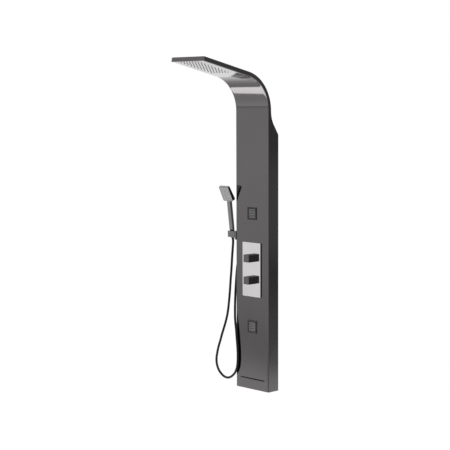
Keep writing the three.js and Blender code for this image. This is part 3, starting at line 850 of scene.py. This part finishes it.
def tube(name, path, radius, sides):
    """A closed round tube along the path."""
    rest()
    line = bpy.data.curves.new(name, "CURVE")
    line.dimensions = "3D"
    line.twist_mode = "MINIMUM"
    line.bevel_depth = radius
    line.bevel_resolution = sides // 4 - 1
    line.use_fill_caps = True
    spline = line.splines.new("POLY")
    spline.points.add(len(path) - 1)
    for point, place_point in zip(spline.points, path):
        point.co = (*place_point, 1)
    piece = bpy.data.objects.new(name, line)
    bpy.context.scene.collection.objects.link(piece)
    take(piece)
    bpy.ops.object.convert(target="MESH")
    piece = bpy.context.active_object
    edit(piece, "VERT")
    bpy.ops.object.mode_set(mode="EDIT")
    bpy.ops.mesh.select_all(action="SELECT")
    bpy.ops.mesh.remove_doubles(threshold=0.00001)
    bpy.ops.mesh.normals_make_consistent(inside=False)
    rest()
    return piece


class SHOWER_OT_hose(bpy.types.Operator):
    """The black hose, hanging in one loop from its outlet to the hand shower"""

    bl_idname = "shower.hose"
    bl_label = "Hose"

    def execute(self, context):
        sizes = settings().hose
        points = [at(*point) for point in HOSE_WAY]
        points += [below_nut(14), below_nut(GAP)]
        path = flowing(points, 8)
        piece = tube("black_hose", path, sizes.diameter / 2, sizes.sides)
        smooth(piece, 60)
        piece.data.materials.clear()
        piece.data.materials.append(FINISHES["hose"])
        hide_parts("shower_hose")
        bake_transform(piece)
        return {"FINISHED"}


# ---- Panel ----


def head_matrix():
    """The rain head's frame: Y along the head to the wall, Z up through it, from its front edge."""
    sizes = settings().panel
    turn = math.pi / 2 - sizes.rise
    y = -sizes.depth - sizes.bend + sizes.bend * math.cos(turn) - sizes.head_length * math.cos(sizes.rise)
    z = sizes.neck + sizes.bend * math.sin(turn) + sizes.head_length * math.sin(sizes.rise)
    return Matrix.Translation((0, y, z - BRACKET_HEIGHT * MM)) @ Matrix.Rotation(-sizes.rise, 4, "X")


def start_wire(name, y, z):
    """Starts a line drawn in the Y-Z plane, and stays in edit mode."""
    rest()
    bpy.ops.mesh.primitive_plane_add(size=MM, location=(0, y, z))
    piece = named(name)
    bpy.ops.object.mode_set(mode="EDIT")
    bpy.ops.mesh.select_mode(type="VERT")
    bpy.ops.mesh.select_all(action="SELECT")
    bpy.ops.mesh.merge(type="CENTER")
    return piece


def draw_line(start, end):
    bpy.ops.mesh.extrude_region_move(
        TRANSFORM_OT_translate={"value": (0, end[0] - start[0], end[1] - start[1])}
    )
    return end


def draw_arc(start, centre, angle, steps=40):
    """Draws an arc about the X axis, and returns its end."""
    bpy.ops.mesh.spin(
        steps=steps, dupli=False, angle=angle, center=(0, centre[0], centre[1]), axis=(-1, 0, 0)
    )
    cosine = math.cos(angle)
    sine = math.sin(angle)
    y = start[0] - centre[0]
    z = start[1] - centre[1]
    return (centre[0] + y * cosine - z * sine, centre[1] + y * sine + z * cosine)


SHOULDER = math.radians(33)
SHOULDER_RADIUS = 112 * MM


def draw_back(point, inset, wall):
    """Draws the back edge from the head's front to the wall."""
    sizes = settings().panel
    turn = math.pi / 2 - sizes.rise
    slope = math.sin(sizes.rise)
    neck_y = sizes.neck_depth - sizes.depth
    neck_z = sizes.neck - BRACKET_HEIGHT * MM
    radius = sizes.bend + (sizes.head_depth - sizes.neck_depth * slope) / (1 - slope)
    centre = (neck_y - radius, neck_z)
    near = radius - inset
    point = draw_line(point, (centre[0] + near * math.cos(turn), centre[1] + near * math.sin(turn)))
    point = draw_arc(point, centre, -turn)
    shoulder_y = neck_y + SHOULDER_RADIUS
    point = draw_arc(point, (shoulder_y, neck_z), SHOULDER, 20)
    run = wall - point[0]
    return draw_line(point, (wall, point[1] - run / math.tan(SHOULDER)))


def extrude_wide(piece, stations):
    """Stretches the drawn line or face across, through the stations in X."""
    bpy.ops.mesh.select_all(action="SELECT")
    bpy.ops.transform.translate(value=(stations[0], 0, 0))
    for start, end in zip(stations, stations[1:]):
        bpy.ops.mesh.extrude_region_move(TRANSFORM_OT_translate={"value": (end - start, 0, 0)})
    bpy.ops.mesh.select_all(action="SELECT")
    bpy.ops.mesh.normals_make_consistent(inside=False)
    rest()
    return piece


CROWN_START = 12 * MM  # from the long folds
CROWN_MIDDLE = 5 * MM
CROWN_FALL = 0.75 * MM
CROWN_MIDDLE_FALL = 0.22 * MM


def crown_sides(piece, half):
    """Lets the sheet fall away a little towards its long folds, then closes its flanges again."""
    pick_faces(piece, lambda centre, normal: abs(normal.x) > 0.9)
    bpy.ops.mesh.delete(type="ONLY_FACE")
    rest()
    used = {i for face in piece.data.polygons for i in face.vertices}
    for reach, fall in ((half, CROWN_FALL), (half - CROWN_MIDDLE, CROWN_MIDDLE_FALL)):
        edit(piece, "VERT")
        for vertex in piece.data.vertices:
            vertex.select = vertex.index in used and abs(abs(vertex.co.x) - reach) < MM / 2
        bpy.ops.object.mode_set(mode="EDIT")
        bpy.ops.transform.shrink_fatten(value=-fall)
        rest()
    for side in (-1, 1):
        pick_edges(piece, lambda a, b: min(a.x * side, b.x * side) > half - MM / 2)
        bpy.ops.mesh.edge_face_add()
        rest()
    edit(piece, "FACE")
    bpy.ops.object.mode_set(mode="EDIT")
    bpy.ops.mesh.select_all(action="SELECT")
    bpy.ops.mesh.normals_make_consistent(inside=False)
    rest()


NOZZLE_ACROSS = 17 * MM
NOZZLE_ALONG = 19.5 * MM


def first_nozzle():
    """The first nozzle's place in the head's frame."""
    return Vector((-(settings().panel.nozzle_columns - 1) / 2 * NOZZLE_ACROSS, 14 * MM, 0))


def over_head(piece):
    """Repeats a nozzle or its hole over the whole rain head."""
    sizes = settings().panel
    repeat(piece, sizes.nozzle_columns, (NOZZLE_ACROSS, 0, 0))
    repeat(piece, sizes.nozzle_rows, (0, NOZZLE_ALONG, 0))
    return place(piece, head_matrix())


def sheet_cutters():
    """Everything that is cut out of the bent sheet."""
    first = first_nozzle()
    before = (FRONT - 2) * MM
    behind = (FRONT + 3) * MM
    below = first + Vector((0, 0, -2 * MM))
    above = first + Vector((0, 0, 4 * MM))
    cutters = [over_head(rod("cut_nozzles", below, above, 2.6 * MM, sides=16))]
    for name in ("upper_jet_housing", "lower_jet_housing"):
        jet_z = jet_height(name)
        low = at(-JET_CUTOUT / 2, FRONT - 2, jet_z - JET_CUTOUT / 2)
        high = at(JET_CUTOUT / 2, FRONT + 3, jet_z + JET_CUTOUT / 2)
        cutters.append(block("cut_jet", low, high))
    for knob in ("diverter_knob", "mixer_knob"):
        z = middle(knob).z
        cutters.append(rod("cut_valve", (0, before, z), (0, behind, z), VALVE_HOLE))
    low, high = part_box("control_plate")
    for x in (-STUD_X * MM, STUD_X * MM):
        for z in (low.z + STUD_INSET, high.z - STUD_INSET):
            cutters.append(rod("cut_stud", (x, before, z), (x, behind, z), 2.4 * MM, sides=24))
    cutters.append(slot_cutter())
    _, y, z = OUTLET
    cutters.append(rod("cut_outlet", at(-102, y, z), at(-97, y, z), 10.4 * MM))
    cutters.append(rod("cut_screw", at(-102, *HOLDER_SCREW), at(-97, *HOLDER_SCREW), SCREW_HOLE, sides=24))
    return cutters


def jet_height(node):
    """Height of a jet's centre over the bottom edge, in millimetres."""
    frame_node = node.replace("housing", "frame")
    return middle(frame_node).z / MM + BRACKET_HEIGHT


def slot_cutter():
    """The cascade slit, with round ends."""
    low, high = SLOT_HEIGHTS
    cutter = block(
        "cut_slot", at(-SLOT_HALF_WIDTH, FRONT - 2, low), at(SLOT_HALF_WIDTH, FRONT + 3, high)
    )
    pick_edges(cutter, lambda a, b: abs(a.y - b.y) > 1 * MM)
    bpy.ops.mesh.bevel(offset=2.4 * MM, segments=6, affect="EDGES")
    rest()
    return cutter


class SHOWER_OT_panel(bpy.types.Operator):
    """The bent sheet with its folds, rain head, slot and openings"""

    bl_idname = "shower.panel"
    bl_label = "Panel"

    def execute(self, context):
        sizes = settings().panel
        bottom = -BRACKET_HEIGHT * MM
        neck_z = bottom + sizes.neck
        turn = math.pi / 2 - sizes.rise
        point = (-sizes.depth, bottom)
        piece = start_wire("panel_sheet", *point)
        point = draw_line(point, (-sizes.depth, neck_z))
        point = draw_arc(point, (-sizes.depth - sizes.bend, neck_z), turn, 48)
        head = head_matrix()
        for corner in (head @ Vector((0, 0, 0)), head @ Vector((0, 0, sizes.head_depth))):
            point = draw_line(point, (corner.y, corner.z))
        point = draw_back(point, 0, 0)
        draw_line(point, (0, bottom))
        bpy.ops.mesh.select_all(action="SELECT")
        bpy.ops.mesh.edge_face_add()
        half = sizes.width / 2
        inner_edge = half - CROWN_START
        outer_edge = half - CROWN_MIDDLE
        extrude_wide(piece, (-half, -outer_edge, -inner_edge, inner_edge, outer_edge, half))
        pick_faces(piece, lambda centre, normal: normal.y > 0.05)
        bpy.ops.mesh.delete(type="FACE")
        rest()
        crown_sides(piece, half)
        modify(
            piece,
            "BEVEL",
            width=sizes.fold,
            segments=5,
            limit_method="ANGLE",
            angle_limit=math.radians(60),
            use_clamp_overlap=False,
        )
        modify(piece, "SOLIDIFY", thickness=SHEET, offset=-1, use_even_offset=True)
        cut(piece, *sheet_cutters())
        smooth(piece, 30)
        hand_over(piece, FINISHES["gunmetal"], "gunmetal", "column", "front_shell")
        return {"FINISHED"}


class SHOWER_OT_back(bpy.types.Operator):
    """The cover that closes the back of the head and bend"""

    bl_idname = "shower.back"
    bl_label = "Back cover"

    def execute(self, context):
        sizes = settings().panel
        inset = 0.3 * MM
        start = head_matrix() @ Vector((0, SHEET + inset, sizes.head_depth - inset))
        point = (start.y, start.z)
        piece = start_wire("back_sheet", *point)
        draw_back(point, inset, -2 * MM)
        half = sizes.width / 2 - SHEET - inset
        extrude_wide(piece, (-half, half))
        pick_faces(piece, lambda centre, normal: True)
        middle_normal = piece.data.polygons[0].normal.y + piece.data.polygons[0].normal.z
        if middle_normal < 0:
            bpy.ops.mesh.flip_normals()
        rest()
        modify(piece, "SOLIDIFY", thickness=SHEET, offset=-1, use_even_offset=True)
        smooth(piece, 30)
        hand_over(piece, FINISHES["gunmetal"], "gunmetal", "column", "back_cover")
        return {"FINISHED"}


# ---- Rain head ----


def nozzle():
    """One soft nozzle with a rounded tip and a water hole."""
    first = first_nozzle()
    root = first + Vector((0, 0, 2.2 * MM))
    tip = first + Vector((0, 0, -2.5 * MM))
    piece = rod("nozzle", root, tip, 2 * MM, 1.4 * MM, 16)
    pick_faces(piece, lambda centre, normal: normal.z < -0.9)
    bpy.ops.mesh.bevel(offset=0.35 * MM, segments=2, affect="EDGES")
    rest()
    pick_faces(piece, lambda centre, normal: normal.z < -0.99)
    bpy.ops.mesh.inset(thickness=0.45 * MM)
    bpy.ops.mesh.extrude_region_move(TRANSFORM_OT_translate={"value": (0, 0, 1.2 * MM)})
    rest()
    return piece


class SHOWER_OT_rain_head(bpy.types.Operator):
    """Silicone mat with its nozzles, the water chamber and its inlet"""

    bl_idname = "shower.rain_head"
    bl_label = "Rain head"

    def execute(self, context):
        nozzles = over_head(nozzle())
        pad = block("pad", (-66 * MM, 5 * MM, 1.8 * MM), (66 * MM, 208 * MM, 4.9 * MM))
        round_edges(pad, 1 * MM)
        place(pad, head_matrix())
        piece = fuse(pad, nozzles)
        piece.name = "rain_nozzles"
        smooth(piece, 40)
        hand_over(piece, FINISHES["silicone"], "silicone", "column", "nozzle_mat")
        inner("rain_chamber", "water_chamber", "pale", "pale_plastic", 1.2 * MM)
        inner("rain_connector", "water_chamber_inlet", "brass", "brass", 0.4 * MM)
        return {"FINISHED"}


def inner(node, name, finish, slot, radius, body="column"):
    """A refined copy of a CAD node, with its edges rounded."""
    piece = refined(node, name)
    if radius:
        round_edges(piece, radius, 2, 40)
    smooth(piece, 40)
    return hand_over(piece, FINISHES[finish], slot, body, node)


# ---- Control plate and knobs ----


class SHOWER_OT_plate(bpy.types.Operator):
    """The bright plate behind the knobs, with its studs and nuts"""

    bl_idname = "shower.plate"
    bl_label = "Control plate"

    def execute(self, context):
        low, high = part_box("control_plate")
        back = (FRONT - GAP) * MM
        piece = block("bright_plate", low, (high.x, back, high.z))
        round_edges(piece, 0.7 * MM, 3)
        holes = []
        for knob in ("diverter_knob", "mixer_knob"):
            z = middle(knob).z
            holes.append(rod("hole", (0, low.y - MM, z), (0, back + MM, z), VALVE_HOLE))
        cut(piece, *holes)
        for x in (-STUD_X * MM, STUD_X * MM):
            for z in (low.z + STUD_INSET, high.z - STUD_INSET):
                stud = rod("stud", (x, back - MM, z), (x, high.y, z), 2 * MM, sides=24)
                fuse(piece, round_edges(stud, 0.4 * MM, 2))
        smooth(piece, 35)
        hand_over(piece, FINISHES["mirror_steel"], "mirror_steel", "column", "control_plate")
        for i in range(1, 5):
            inner(f"plate_nut_{i}", f"stud_nut_{i}", "steel", "steel", 0.4 * MM)
        return {"FINISHED"}


class SHOWER_OT_knobs(bpy.types.Operator):
    """The two cube knobs with their grub screws and spindles"""

    bl_idname = "shower.knobs"
    bl_label = "Knobs"

    def execute(self, context):
        for body in ("diverter", "mixer"):
            node = f"{body}_knob"
            low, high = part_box(node)
            centre = (low + high) / 2
            piece = block(f"{body}_cube", low, high)
            round_edges(piece, 0.8 * MM, 4)
            socket = rod(
                "socket",
                (0, high.y - 17 * MM, centre.z),
                (0, high.y + MM, centre.z),
                6.3 * MM,
            )
            grub_y = high.y - 8 * MM
            grub = rod("grub", (0, grub_y, low.z - MM), (0, grub_y, centre.z - 5 * MM), 2.4 * MM, sides=24)
            cut(piece, socket, grub)
            smooth(piece, 35)
            hand_over(piece, FINISHES["gunmetal"], "gunmetal", body, node)
            inner(f"{node}_screw", f"{body}_grub_screw", "steel", "steel", 0.3 * MM, body)
            inner(f"{body}_spindle", f"{body}_stem", "brass", "brass", 0.5 * MM, body)
        return {"FINISHED"}


# ---- Body jets ----

SLAT_PITCH = 7 * MM
JET_OPENING = 45 * MM
HOLE_PITCH = 5 * MM  # between the fine holes


def square_ring(name, box, opening, radius):
    """A flat square frame, from a block whose middle is cut out."""
    low, high = box
    centre = (low + high) / 2
    hole = opening / 2
    piece = block(name, low, high)
    tool = block(
        "opening",
        (centre.x - hole, low.y - MM, centre.z - hole),
        (centre.x + hole, high.y + MM, centre.z + hole),
    )
    for part, segments in ((piece, 5), (tool, 4)):
        pick_edges(part, lambda a, b: abs(a.y - b.y) > MM / 2)
        bpy.ops.mesh.bevel(offset=radius, segments=segments, affect="EDGES")
        rest()
    return cut(piece, tool)


def jet_base(name, node):
    """The back of a jet's face: a square plate with a sunk middle, on its ball."""
    low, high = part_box(node)
    centre = (low + high) / 2
    piece = block(name, low, (high.x, low.y + 3.5 * MM, high.z))
    pick_edges(piece, lambda a, b: abs(a.y - b.y) > MM)
    bpy.ops.mesh.bevel(offset=1.5 * MM, segments=4, affect="EDGES")
    rest()
    edge = high.x - 2.4 * MM
    sunk = block(
        "sunk", (-edge, low.y - MM, centre.z - edge), (edge, low.y + 1.4 * MM, centre.z + edge)
    )
    cut(piece, sunk)
    joint = ball("ball", (0, low.y + 7 * MM, centre.z), 6.8 * MM)
    pick_faces(joint, lambda place_point, normal: True)
    bpy.ops.mesh.bisect(
        plane_co=(0, low.y + 3 * MM, 0), plane_no=(0, -1, 0), use_fill=True, clear_outer=True
    )
    rest()
    fuse(piece, joint)
    round_edges(piece, 0.25 * MM, 2, 60)
    hole = rod(
        "fine_hole",
        (-2.5 * HOLE_PITCH, low.y - MM, centre.z - 2 * SLAT_PITCH),
        (-2.5 * HOLE_PITCH, low.y + 2.6 * MM, centre.z - 2 * SLAT_PITCH),
        0.7 * MM,
        sides=12,
    )
    repeat(hole, 6, (HOLE_PITCH, 0, 0))
    repeat(hole, 5, (0, 0, SLAT_PITCH))
    return cut(piece, hole)


def jet_slats(name, node):
    """The slats that lie across the sunk middle of a jet's face."""
    low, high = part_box(node)
    centre = (low + high) / 2
    bottom = centre.z - 2.5 * SLAT_PITCH
    half = high.x - 2.2 * MM
    piece = block(
        name,
        (-half, low.y + 0.2 * MM, bottom - 1.5 * MM),
        (half, low.y + 1.6 * MM, bottom + 1.5 * MM),
    )
    round_edges(piece, 0.6 * MM, 3)
    return repeat(piece, 6, (0, 0, SLAT_PITCH))


class SHOWER_OT_jets(bpy.types.Operator):
    """The two square body jets"""

    bl_idname = "shower.jets"
    bl_label = "Body jets"

    def execute(self, context):
        for side in ("upper", "lower"):
            node = f"{side}_jet_frame"
            low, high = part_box(node)
            ring = square_ring(f"{side}_frame", (low, high), JET_OPENING, 1.5 * MM)
            round_edges(ring, 0.5 * MM, 3)
            smooth(ring, 35)
            # The frame's dark grey paints the shade of the gaps round the jet.
            hand_over(ring, FINISHES["frame_grey"], "black_plastic", "column", node)
            face = jet_base(f"{side}_face", f"{side}_jet_face")
            smooth(face, 35)
            hand_over(face, FINISHES["jet_grey"], "grey_plastic", f"{side}_jet", f"{side}_jet_face")
            slats = jet_slats(f"{side}_slats", f"{side}_jet_face")
            smooth(slats, 35)
            hand_over(slats, FINISHES["slat_grey"], "grey_plastic", f"{side}_jet")
            inner(f"{side}_jet_housing", f"{side}_housing", "black", "black_plastic", 0.15 * MM)
            inner(f"{side}_jet_clamp", f"{side}_clamp", "steel", "steel", 0.4 * MM)
        return {"FINISHED"}


# ---- Hand shower ----

HANDLE_WIDTH = 20 * MM
HANDLE_DEPTH = 13 * MM
HANDLE_LENGTH = 136 * MM
SPRAY_WIDTH = 59 * MM
SPRAY_LENGTH = 72 * MM
SPRAY_DEPTH = 18 * MM
SPRAY_TOP_DEPTH = 11 * MM
NUT_TOP = 4 * MM


def spray_matrix():
    """The spray head's frame: its face looks along -Y and its lower edge starts at Z = 0."""
    hinge = Matrix.Translation((0, -HANDLE_DEPTH / 2 - 0.6 * MM, HANDLE_LENGTH - 3 * MM))
    return GRIP_FRAME @ hinge @ Matrix.Rotation(SPRAY_TILT, 4, "X")


def rounded_block(name, low, high, corner, edge):
    """A block with rounded corners in its face and softened edges."""
    piece = block(name, low, high)
    pick_edges(piece, lambda a, b: abs(a.y - b.y) > MM)
    bpy.ops.mesh.bevel(offset=corner, segments=8, affect="EDGES")
    rest()
    if edge:
        round_edges(piece, edge, 3, 50)
    return piece


def spray_block(name, width, length, corner, front, back, edge):
    low = (-width / 2, front, (SPRAY_LENGTH - length) / 2)
    high = (width / 2, back, (SPRAY_LENGTH + length) / 2)
    return rounded_block(name, low, high, corner, edge)


def spray_tips():
    """Fine nozzles on the spray plate."""
    step = 5.6 * MM
    start = Vector((-3.5 * step, 0.3 * MM, SPRAY_LENGTH / 2 - 4.5 * step))
    tip = rod("tip", start, start + Vector((0, -1.1 * MM, 0)), 1.0 * MM, 0.7 * MM, 12)
    pick_faces(tip, lambda centre, normal: normal.y < -0.9)
    bpy.ops.mesh.inset(thickness=0.3 * MM)
    bpy.ops.mesh.extrude_region_move(TRANSFORM_OT_translate={"value": (0, 0.5 * MM, 0)})
    rest()
    repeat(tip, 8, (step, 0, 0))
    return repeat(tip, 10, (0, 0, step))


class SHOWER_OT_hand_shower(bpy.types.Operator):
    """The hand shower: body, spray plate, hose nut and washer"""

    bl_idname = "shower.hand_shower"
    bl_label = "Hand shower"

    def execute(self, context):
        half_width = HANDLE_WIDTH / 2
        half_depth = HANDLE_DEPTH / 2
        base = NUT_TOP + GAP * MM
        handle = block(
            "hand_shower",
            (-half_width, -half_depth, base),
            (half_width, half_depth, HANDLE_LENGTH + 3 * MM),
        )
        round_edges(handle, 0.9 * MM, 4)
        place(handle, GRIP_FRAME)
        head = spray_block("head", SPRAY_WIDTH, SPRAY_LENGTH, 5 * MM, 0, SPRAY_DEPTH, 0)
        lean = Vector((0, SPRAY_LENGTH, SPRAY_DEPTH - SPRAY_TOP_DEPTH))
        pick_faces(head, lambda centre, normal: True)
        bpy.ops.mesh.bisect(plane_co=(0, SPRAY_DEPTH, 0), plane_no=lean, use_fill=True, clear_outer=True)
        rest()
        round_edges(head, 0.8 * MM, 3, 50)
        place(head, spray_matrix())
        fuse(handle, head)
        thread = rod("thread", (0, 0, NUT_TOP + 2 * MM), (0, 0, NUT_TOP - 10 * MM), 6 * MM)
        place(thread, GRIP_FRAME)
        fuse(handle, thread)
        wide = SPRAY_WIDTH - 8 * MM
        recess = spray_block("recess", wide, SPRAY_LENGTH - 8 * MM, 3 * MM, -MM, 9 * MM, 0)
        place(recess, spray_matrix())
        bore = rod("bore", (0, 0, NUT_TOP - 11 * MM), (0, 0, HANDLE_LENGTH), 3.5 * MM, sides=32)
        place(bore, GRIP_FRAME)
        cut(handle, recess)
        cut(handle, bore)
        smooth(handle, 35)
        hand_over(handle, FINISHES["light_gunmetal"], "gunmetal", "handset", "handset_body")
        wide = SPRAY_WIDTH - 9 * MM
        long = SPRAY_LENGTH - 9 * MM
        plate = spray_block("spray_plate", wide, long, 2.5 * MM, 0, 3 * MM, 0.5 * MM)
        fuse(plate, spray_tips())
        place(plate, spray_matrix())
        smooth(plate, 35)
        hand_over(plate, FINISHES["spray_grey"], "grey_plastic", "handset", "handset_spray_plate")
        collar = rod("grip_nut", (0, 0, 1.2 * MM), (0, 0, NUT_TOP), 10.5 * MM, sides=64)
        tip = (0, 0, NUT_TIP * MM)
        cone = rod("cone", tip, (0, 0, 2.2 * MM), NUT_TIP_RADIUS * MM, NUT_TOP_RADIUS * MM, 64)
        fuse(collar, cone)
        cut(collar, rod("socket", (0, 0, NUT_TOP - 11.9 * MM), (0, 0, NUT_TOP + MM), 6.3 * MM, sides=48))
        round_edges(collar, 0.2 * MM, 2)
        place(collar, GRIP_FRAME)
        smooth(collar, 35)
        hand_over(collar, FINISHES["black"], "black_plastic", "handset", "handset_hose_nut")
        inner("handset_washer", "grip_washer", "rubber", "rubber", 0.3 * MM, "handset")
        return {"FINISHED"}


# ---- Holder and hose outlet ----


class SHOWER_OT_holder(bpy.types.Operator):
    """The cradle for the hand shower and the block that joins it to the panel"""

    bl_idname = "shower.holder"
    bl_label = "Holder"

    def execute(self, context):
        low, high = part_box("handset_holder")
        arm = block("cradle", low, high)
        pick_edges(arm, lambda a, b: abs(a.z - b.z) > MM)
        bpy.ops.mesh.bevel(offset=2.5 * MM, segments=5, affect="EDGES")
        rest()
        round_edges(arm, 0.7 * MM, 3)
        wide = (NUT_TIP_RADIUS + SEAT_CLEARANCE + NUT_TAPER * (8 - NUT_TIP)) * MM
        narrow = (NUT_TIP_RADIUS + SEAT_CLEARANCE - NUT_TAPER * (40 + NUT_TIP)) * MM
        seat = rod("seat", (0, 0, 8 * MM), (0, 0, -40 * MM), wide, narrow, 64)
        place(seat, GRIP_FRAME)
        cut(arm, seat)
        mouth = block("mouth", (-30 * MM, -MOUTH, -40 * MM), (0, MOUTH, 20 * MM))
        place(mouth, GRIP_FRAME)
        cut(arm, mouth)
        smooth(arm, 35)
        hand_over(arm, FINISHES["light_gunmetal"], "gunmetal", "column", "handset_holder")
        low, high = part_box("holder_base")
        base = block("cradle_base", low, high)
        round_edges(base, 0.8 * MM, 3)
        cut(base, rod("hole", at(-110, *HOLDER_SCREW), at(-98, *HOLDER_SCREW), SCREW_HOLE, sides=24))
        smooth(base, 35)
        hand_over(base, FINISHES["light_gunmetal"], "gunmetal", "column", "holder_base")
        inner("holder_screw", "cradle_screw", "steel", "steel", 0.3 * MM)
        return {"FINISHED"}


class SHOWER_OT_outlet(bpy.types.Operator):
    """The elbow on the left flange, its back nut and the hose nut"""

    bl_idname = "shower.outlet"
    bl_label = "Hose outlet"

    def execute(self, context):
        x, y, z = OUTLET
        low_z = z - 18
        elbow = rod("elbow", at(-84, y, z), at(-102, y, z), 9.8 * MM)
        rosette = rod("rosette", at(-100.3, y, z), at(-103, y, z), 13.5 * MM, sides=64)
        round_edges(rosette, 0.6 * MM, 3)
        barrel = rod("barrel", at(-101, y, z), at(x, y, z), 9 * MM)
        corner = ball("corner", at(x, y, z), 9 * MM, 48, 24)
        leg = rod("leg", at(x, y, z), at(x, y, low_z), 9 * MM)
        thread = rod("thread", at(x, y, low_z + 1), at(x, y, low_z - 10), 7 * MM)
        fuse(elbow, rosette, barrel, corner, leg, thread)
        cut(elbow, rod("way", at(x, y, z), at(x, y, low_z - 11), 3.5 * MM, sides=32))
        smooth(elbow, 35)
        hand_over(elbow, FINISHES["light_gunmetal"], "gunmetal", "column", "outlet_elbow")
        top = low_z - GAP
        nut = rod("outlet_hose_nut", at(x, y, top), at(x, y, top - 14), 11 * MM, sides=12)
        round_edges(nut, 0.6 * MM, 3, 25)
        ferrule = rod("ferrule", at(x, y, top - 13), at(x, y, top - 26), 7.5 * MM, 6 * MM, 48)
        round_edges(ferrule, 0.6 * MM, 3)
        fuse(nut, ferrule)
        cut(nut, rod("seat", at(x, y, top - 11.9), at(x, y, top + 1), 7.3 * MM, sides=48))
        smooth(nut, 35)
        hand_over(nut, FINISHES["light_gunmetal"], "gunmetal", "column", "hose_nut")
        inner("outlet_backnut", "outlet_lock_nut", "brass", "brass", 0.8 * MM)
        inner("hose_washer", "outlet_washer", "rubber", "rubber", 0.3 * MM)
        return {"FINISHED"}


# ---- Inside the panel ----


class SHOWER_OT_valve(bpy.types.Operator):
    """Valve body, cartridges and their nuts, supply inlets and check valves"""

    bl_idname = "shower.valve"
    bl_label = "Valve"

    def execute(self, context):
        inner("valve_body", "brass_body", "brass", "brass", 1.2 * MM)
        for body in ("diverter", "mixer"):
            inner(f"{body}_cartridge", f"{body}_insert", "pale", "pale_plastic", 0.5 * MM)
            inner(f"{body}_cartridge_nut", f"{body}_lock_nut", "brass", "brass", 0.6 * MM)
        for name in ("hot", "cold"):
            inner(f"{name}_inlet", f"{name}_nipple", "brass", "brass", 0.6 * MM)
            inner(f"{name}_check_valve", f"{name}_stop", "pale", "grey_plastic", 0.4 * MM)
        inner("cascade_box", "cascade_chamber", "slat_grey", "black_plastic", 1.0 * MM)
        inner("jet_tee", "jet_branch", "brass", "brass", 0.6 * MM)
        return {"FINISHED"}


class SHOWER_OT_tubes(bpy.types.Operator):
    """The water tubes inside the panel"""

    bl_idname = "shower.tubes"
    bl_label = "Water tubes"

    def execute(self, context):
        for name in ("rain", "upper_jet", "lower_jet", "cascade", "handset"):
            piece = refined(f"{name}_tube", f"{name}_pipe")
            modify(piece, "SUBSURF", levels=1, render_levels=1)
            smooth(piece, 50)
            hand_over(piece, FINISHES["pale"], "pale_plastic", "column", f"{name}_tube")
        return {"FINISHED"}


class SHOWER_OT_brackets(bpy.types.Operator):
    """Wall brackets and the rails that hang on them"""

    bl_idname = "shower.brackets"
    bl_label = "Brackets"

    def execute(self, context):
        for side in ("upper", "lower"):
            inner(f"{side}_wall_bracket", f"{side}_bracket", "steel", "steel", 0.4 * MM)
            inner(f"{side}_hanger_rail", f"{side}_rail", "steel", "steel", 0.4 * MM)
        return {"FINISHED"}


STEPS = (
    SHOWER_OT_stage,
    SHOWER_OT_hose,
    SHOWER_OT_panel,
    SHOWER_OT_back,
    SHOWER_OT_rain_head,
    SHOWER_OT_plate,
    SHOWER_OT_knobs,
    SHOWER_OT_jets,
    SHOWER_OT_hand_shower,
    SHOWER_OT_holder,
    SHOWER_OT_outlet,
    SHOWER_OT_valve,
    SHOWER_OT_tubes,
    SHOWER_OT_brackets,
)


class SHOWER_PT_column(bpy.types.Panel):
    """Sizes, colours and steps of the shower column"""

    bl_idname = "SHOWER_PT_column"
    bl_label = "Shower column"
    bl_space_type = "VIEW_3D"
    bl_region_type = "UI"
    bl_category = "Shower"

    def draw(self, context):
        column = context.scene.shower_column
        for group in (column.panel, column.colours, column.hose):
            section = self.layout.box()
            for key in group.__annotations__:
                section.prop(group, key)
        for step in STEPS:
            self.layout.operator(step.bl_idname)


GROUPS = (PanelSizes, FinishColours, HoseSizes, ColumnSettings)


def register():
    for item in (*GROUPS, *STEPS, SHOWER_PT_column):
        bpy.utils.register_class(item)
    bpy.types.Scene.shower_column = PointerProperty(type=ColumnSettings)


def unregister():
    del bpy.types.Scene.shower_column
    for item in reversed((*GROUPS, *STEPS, SHOWER_PT_column)):
        bpy.utils.unregister_class(item)


def main():
    register()
    for step in STEPS:
        group, name = step.bl_idname.split(".")
        getattr(getattr(bpy.ops, group), name)()
    rest()


if __name__ == "__main__":
    main()
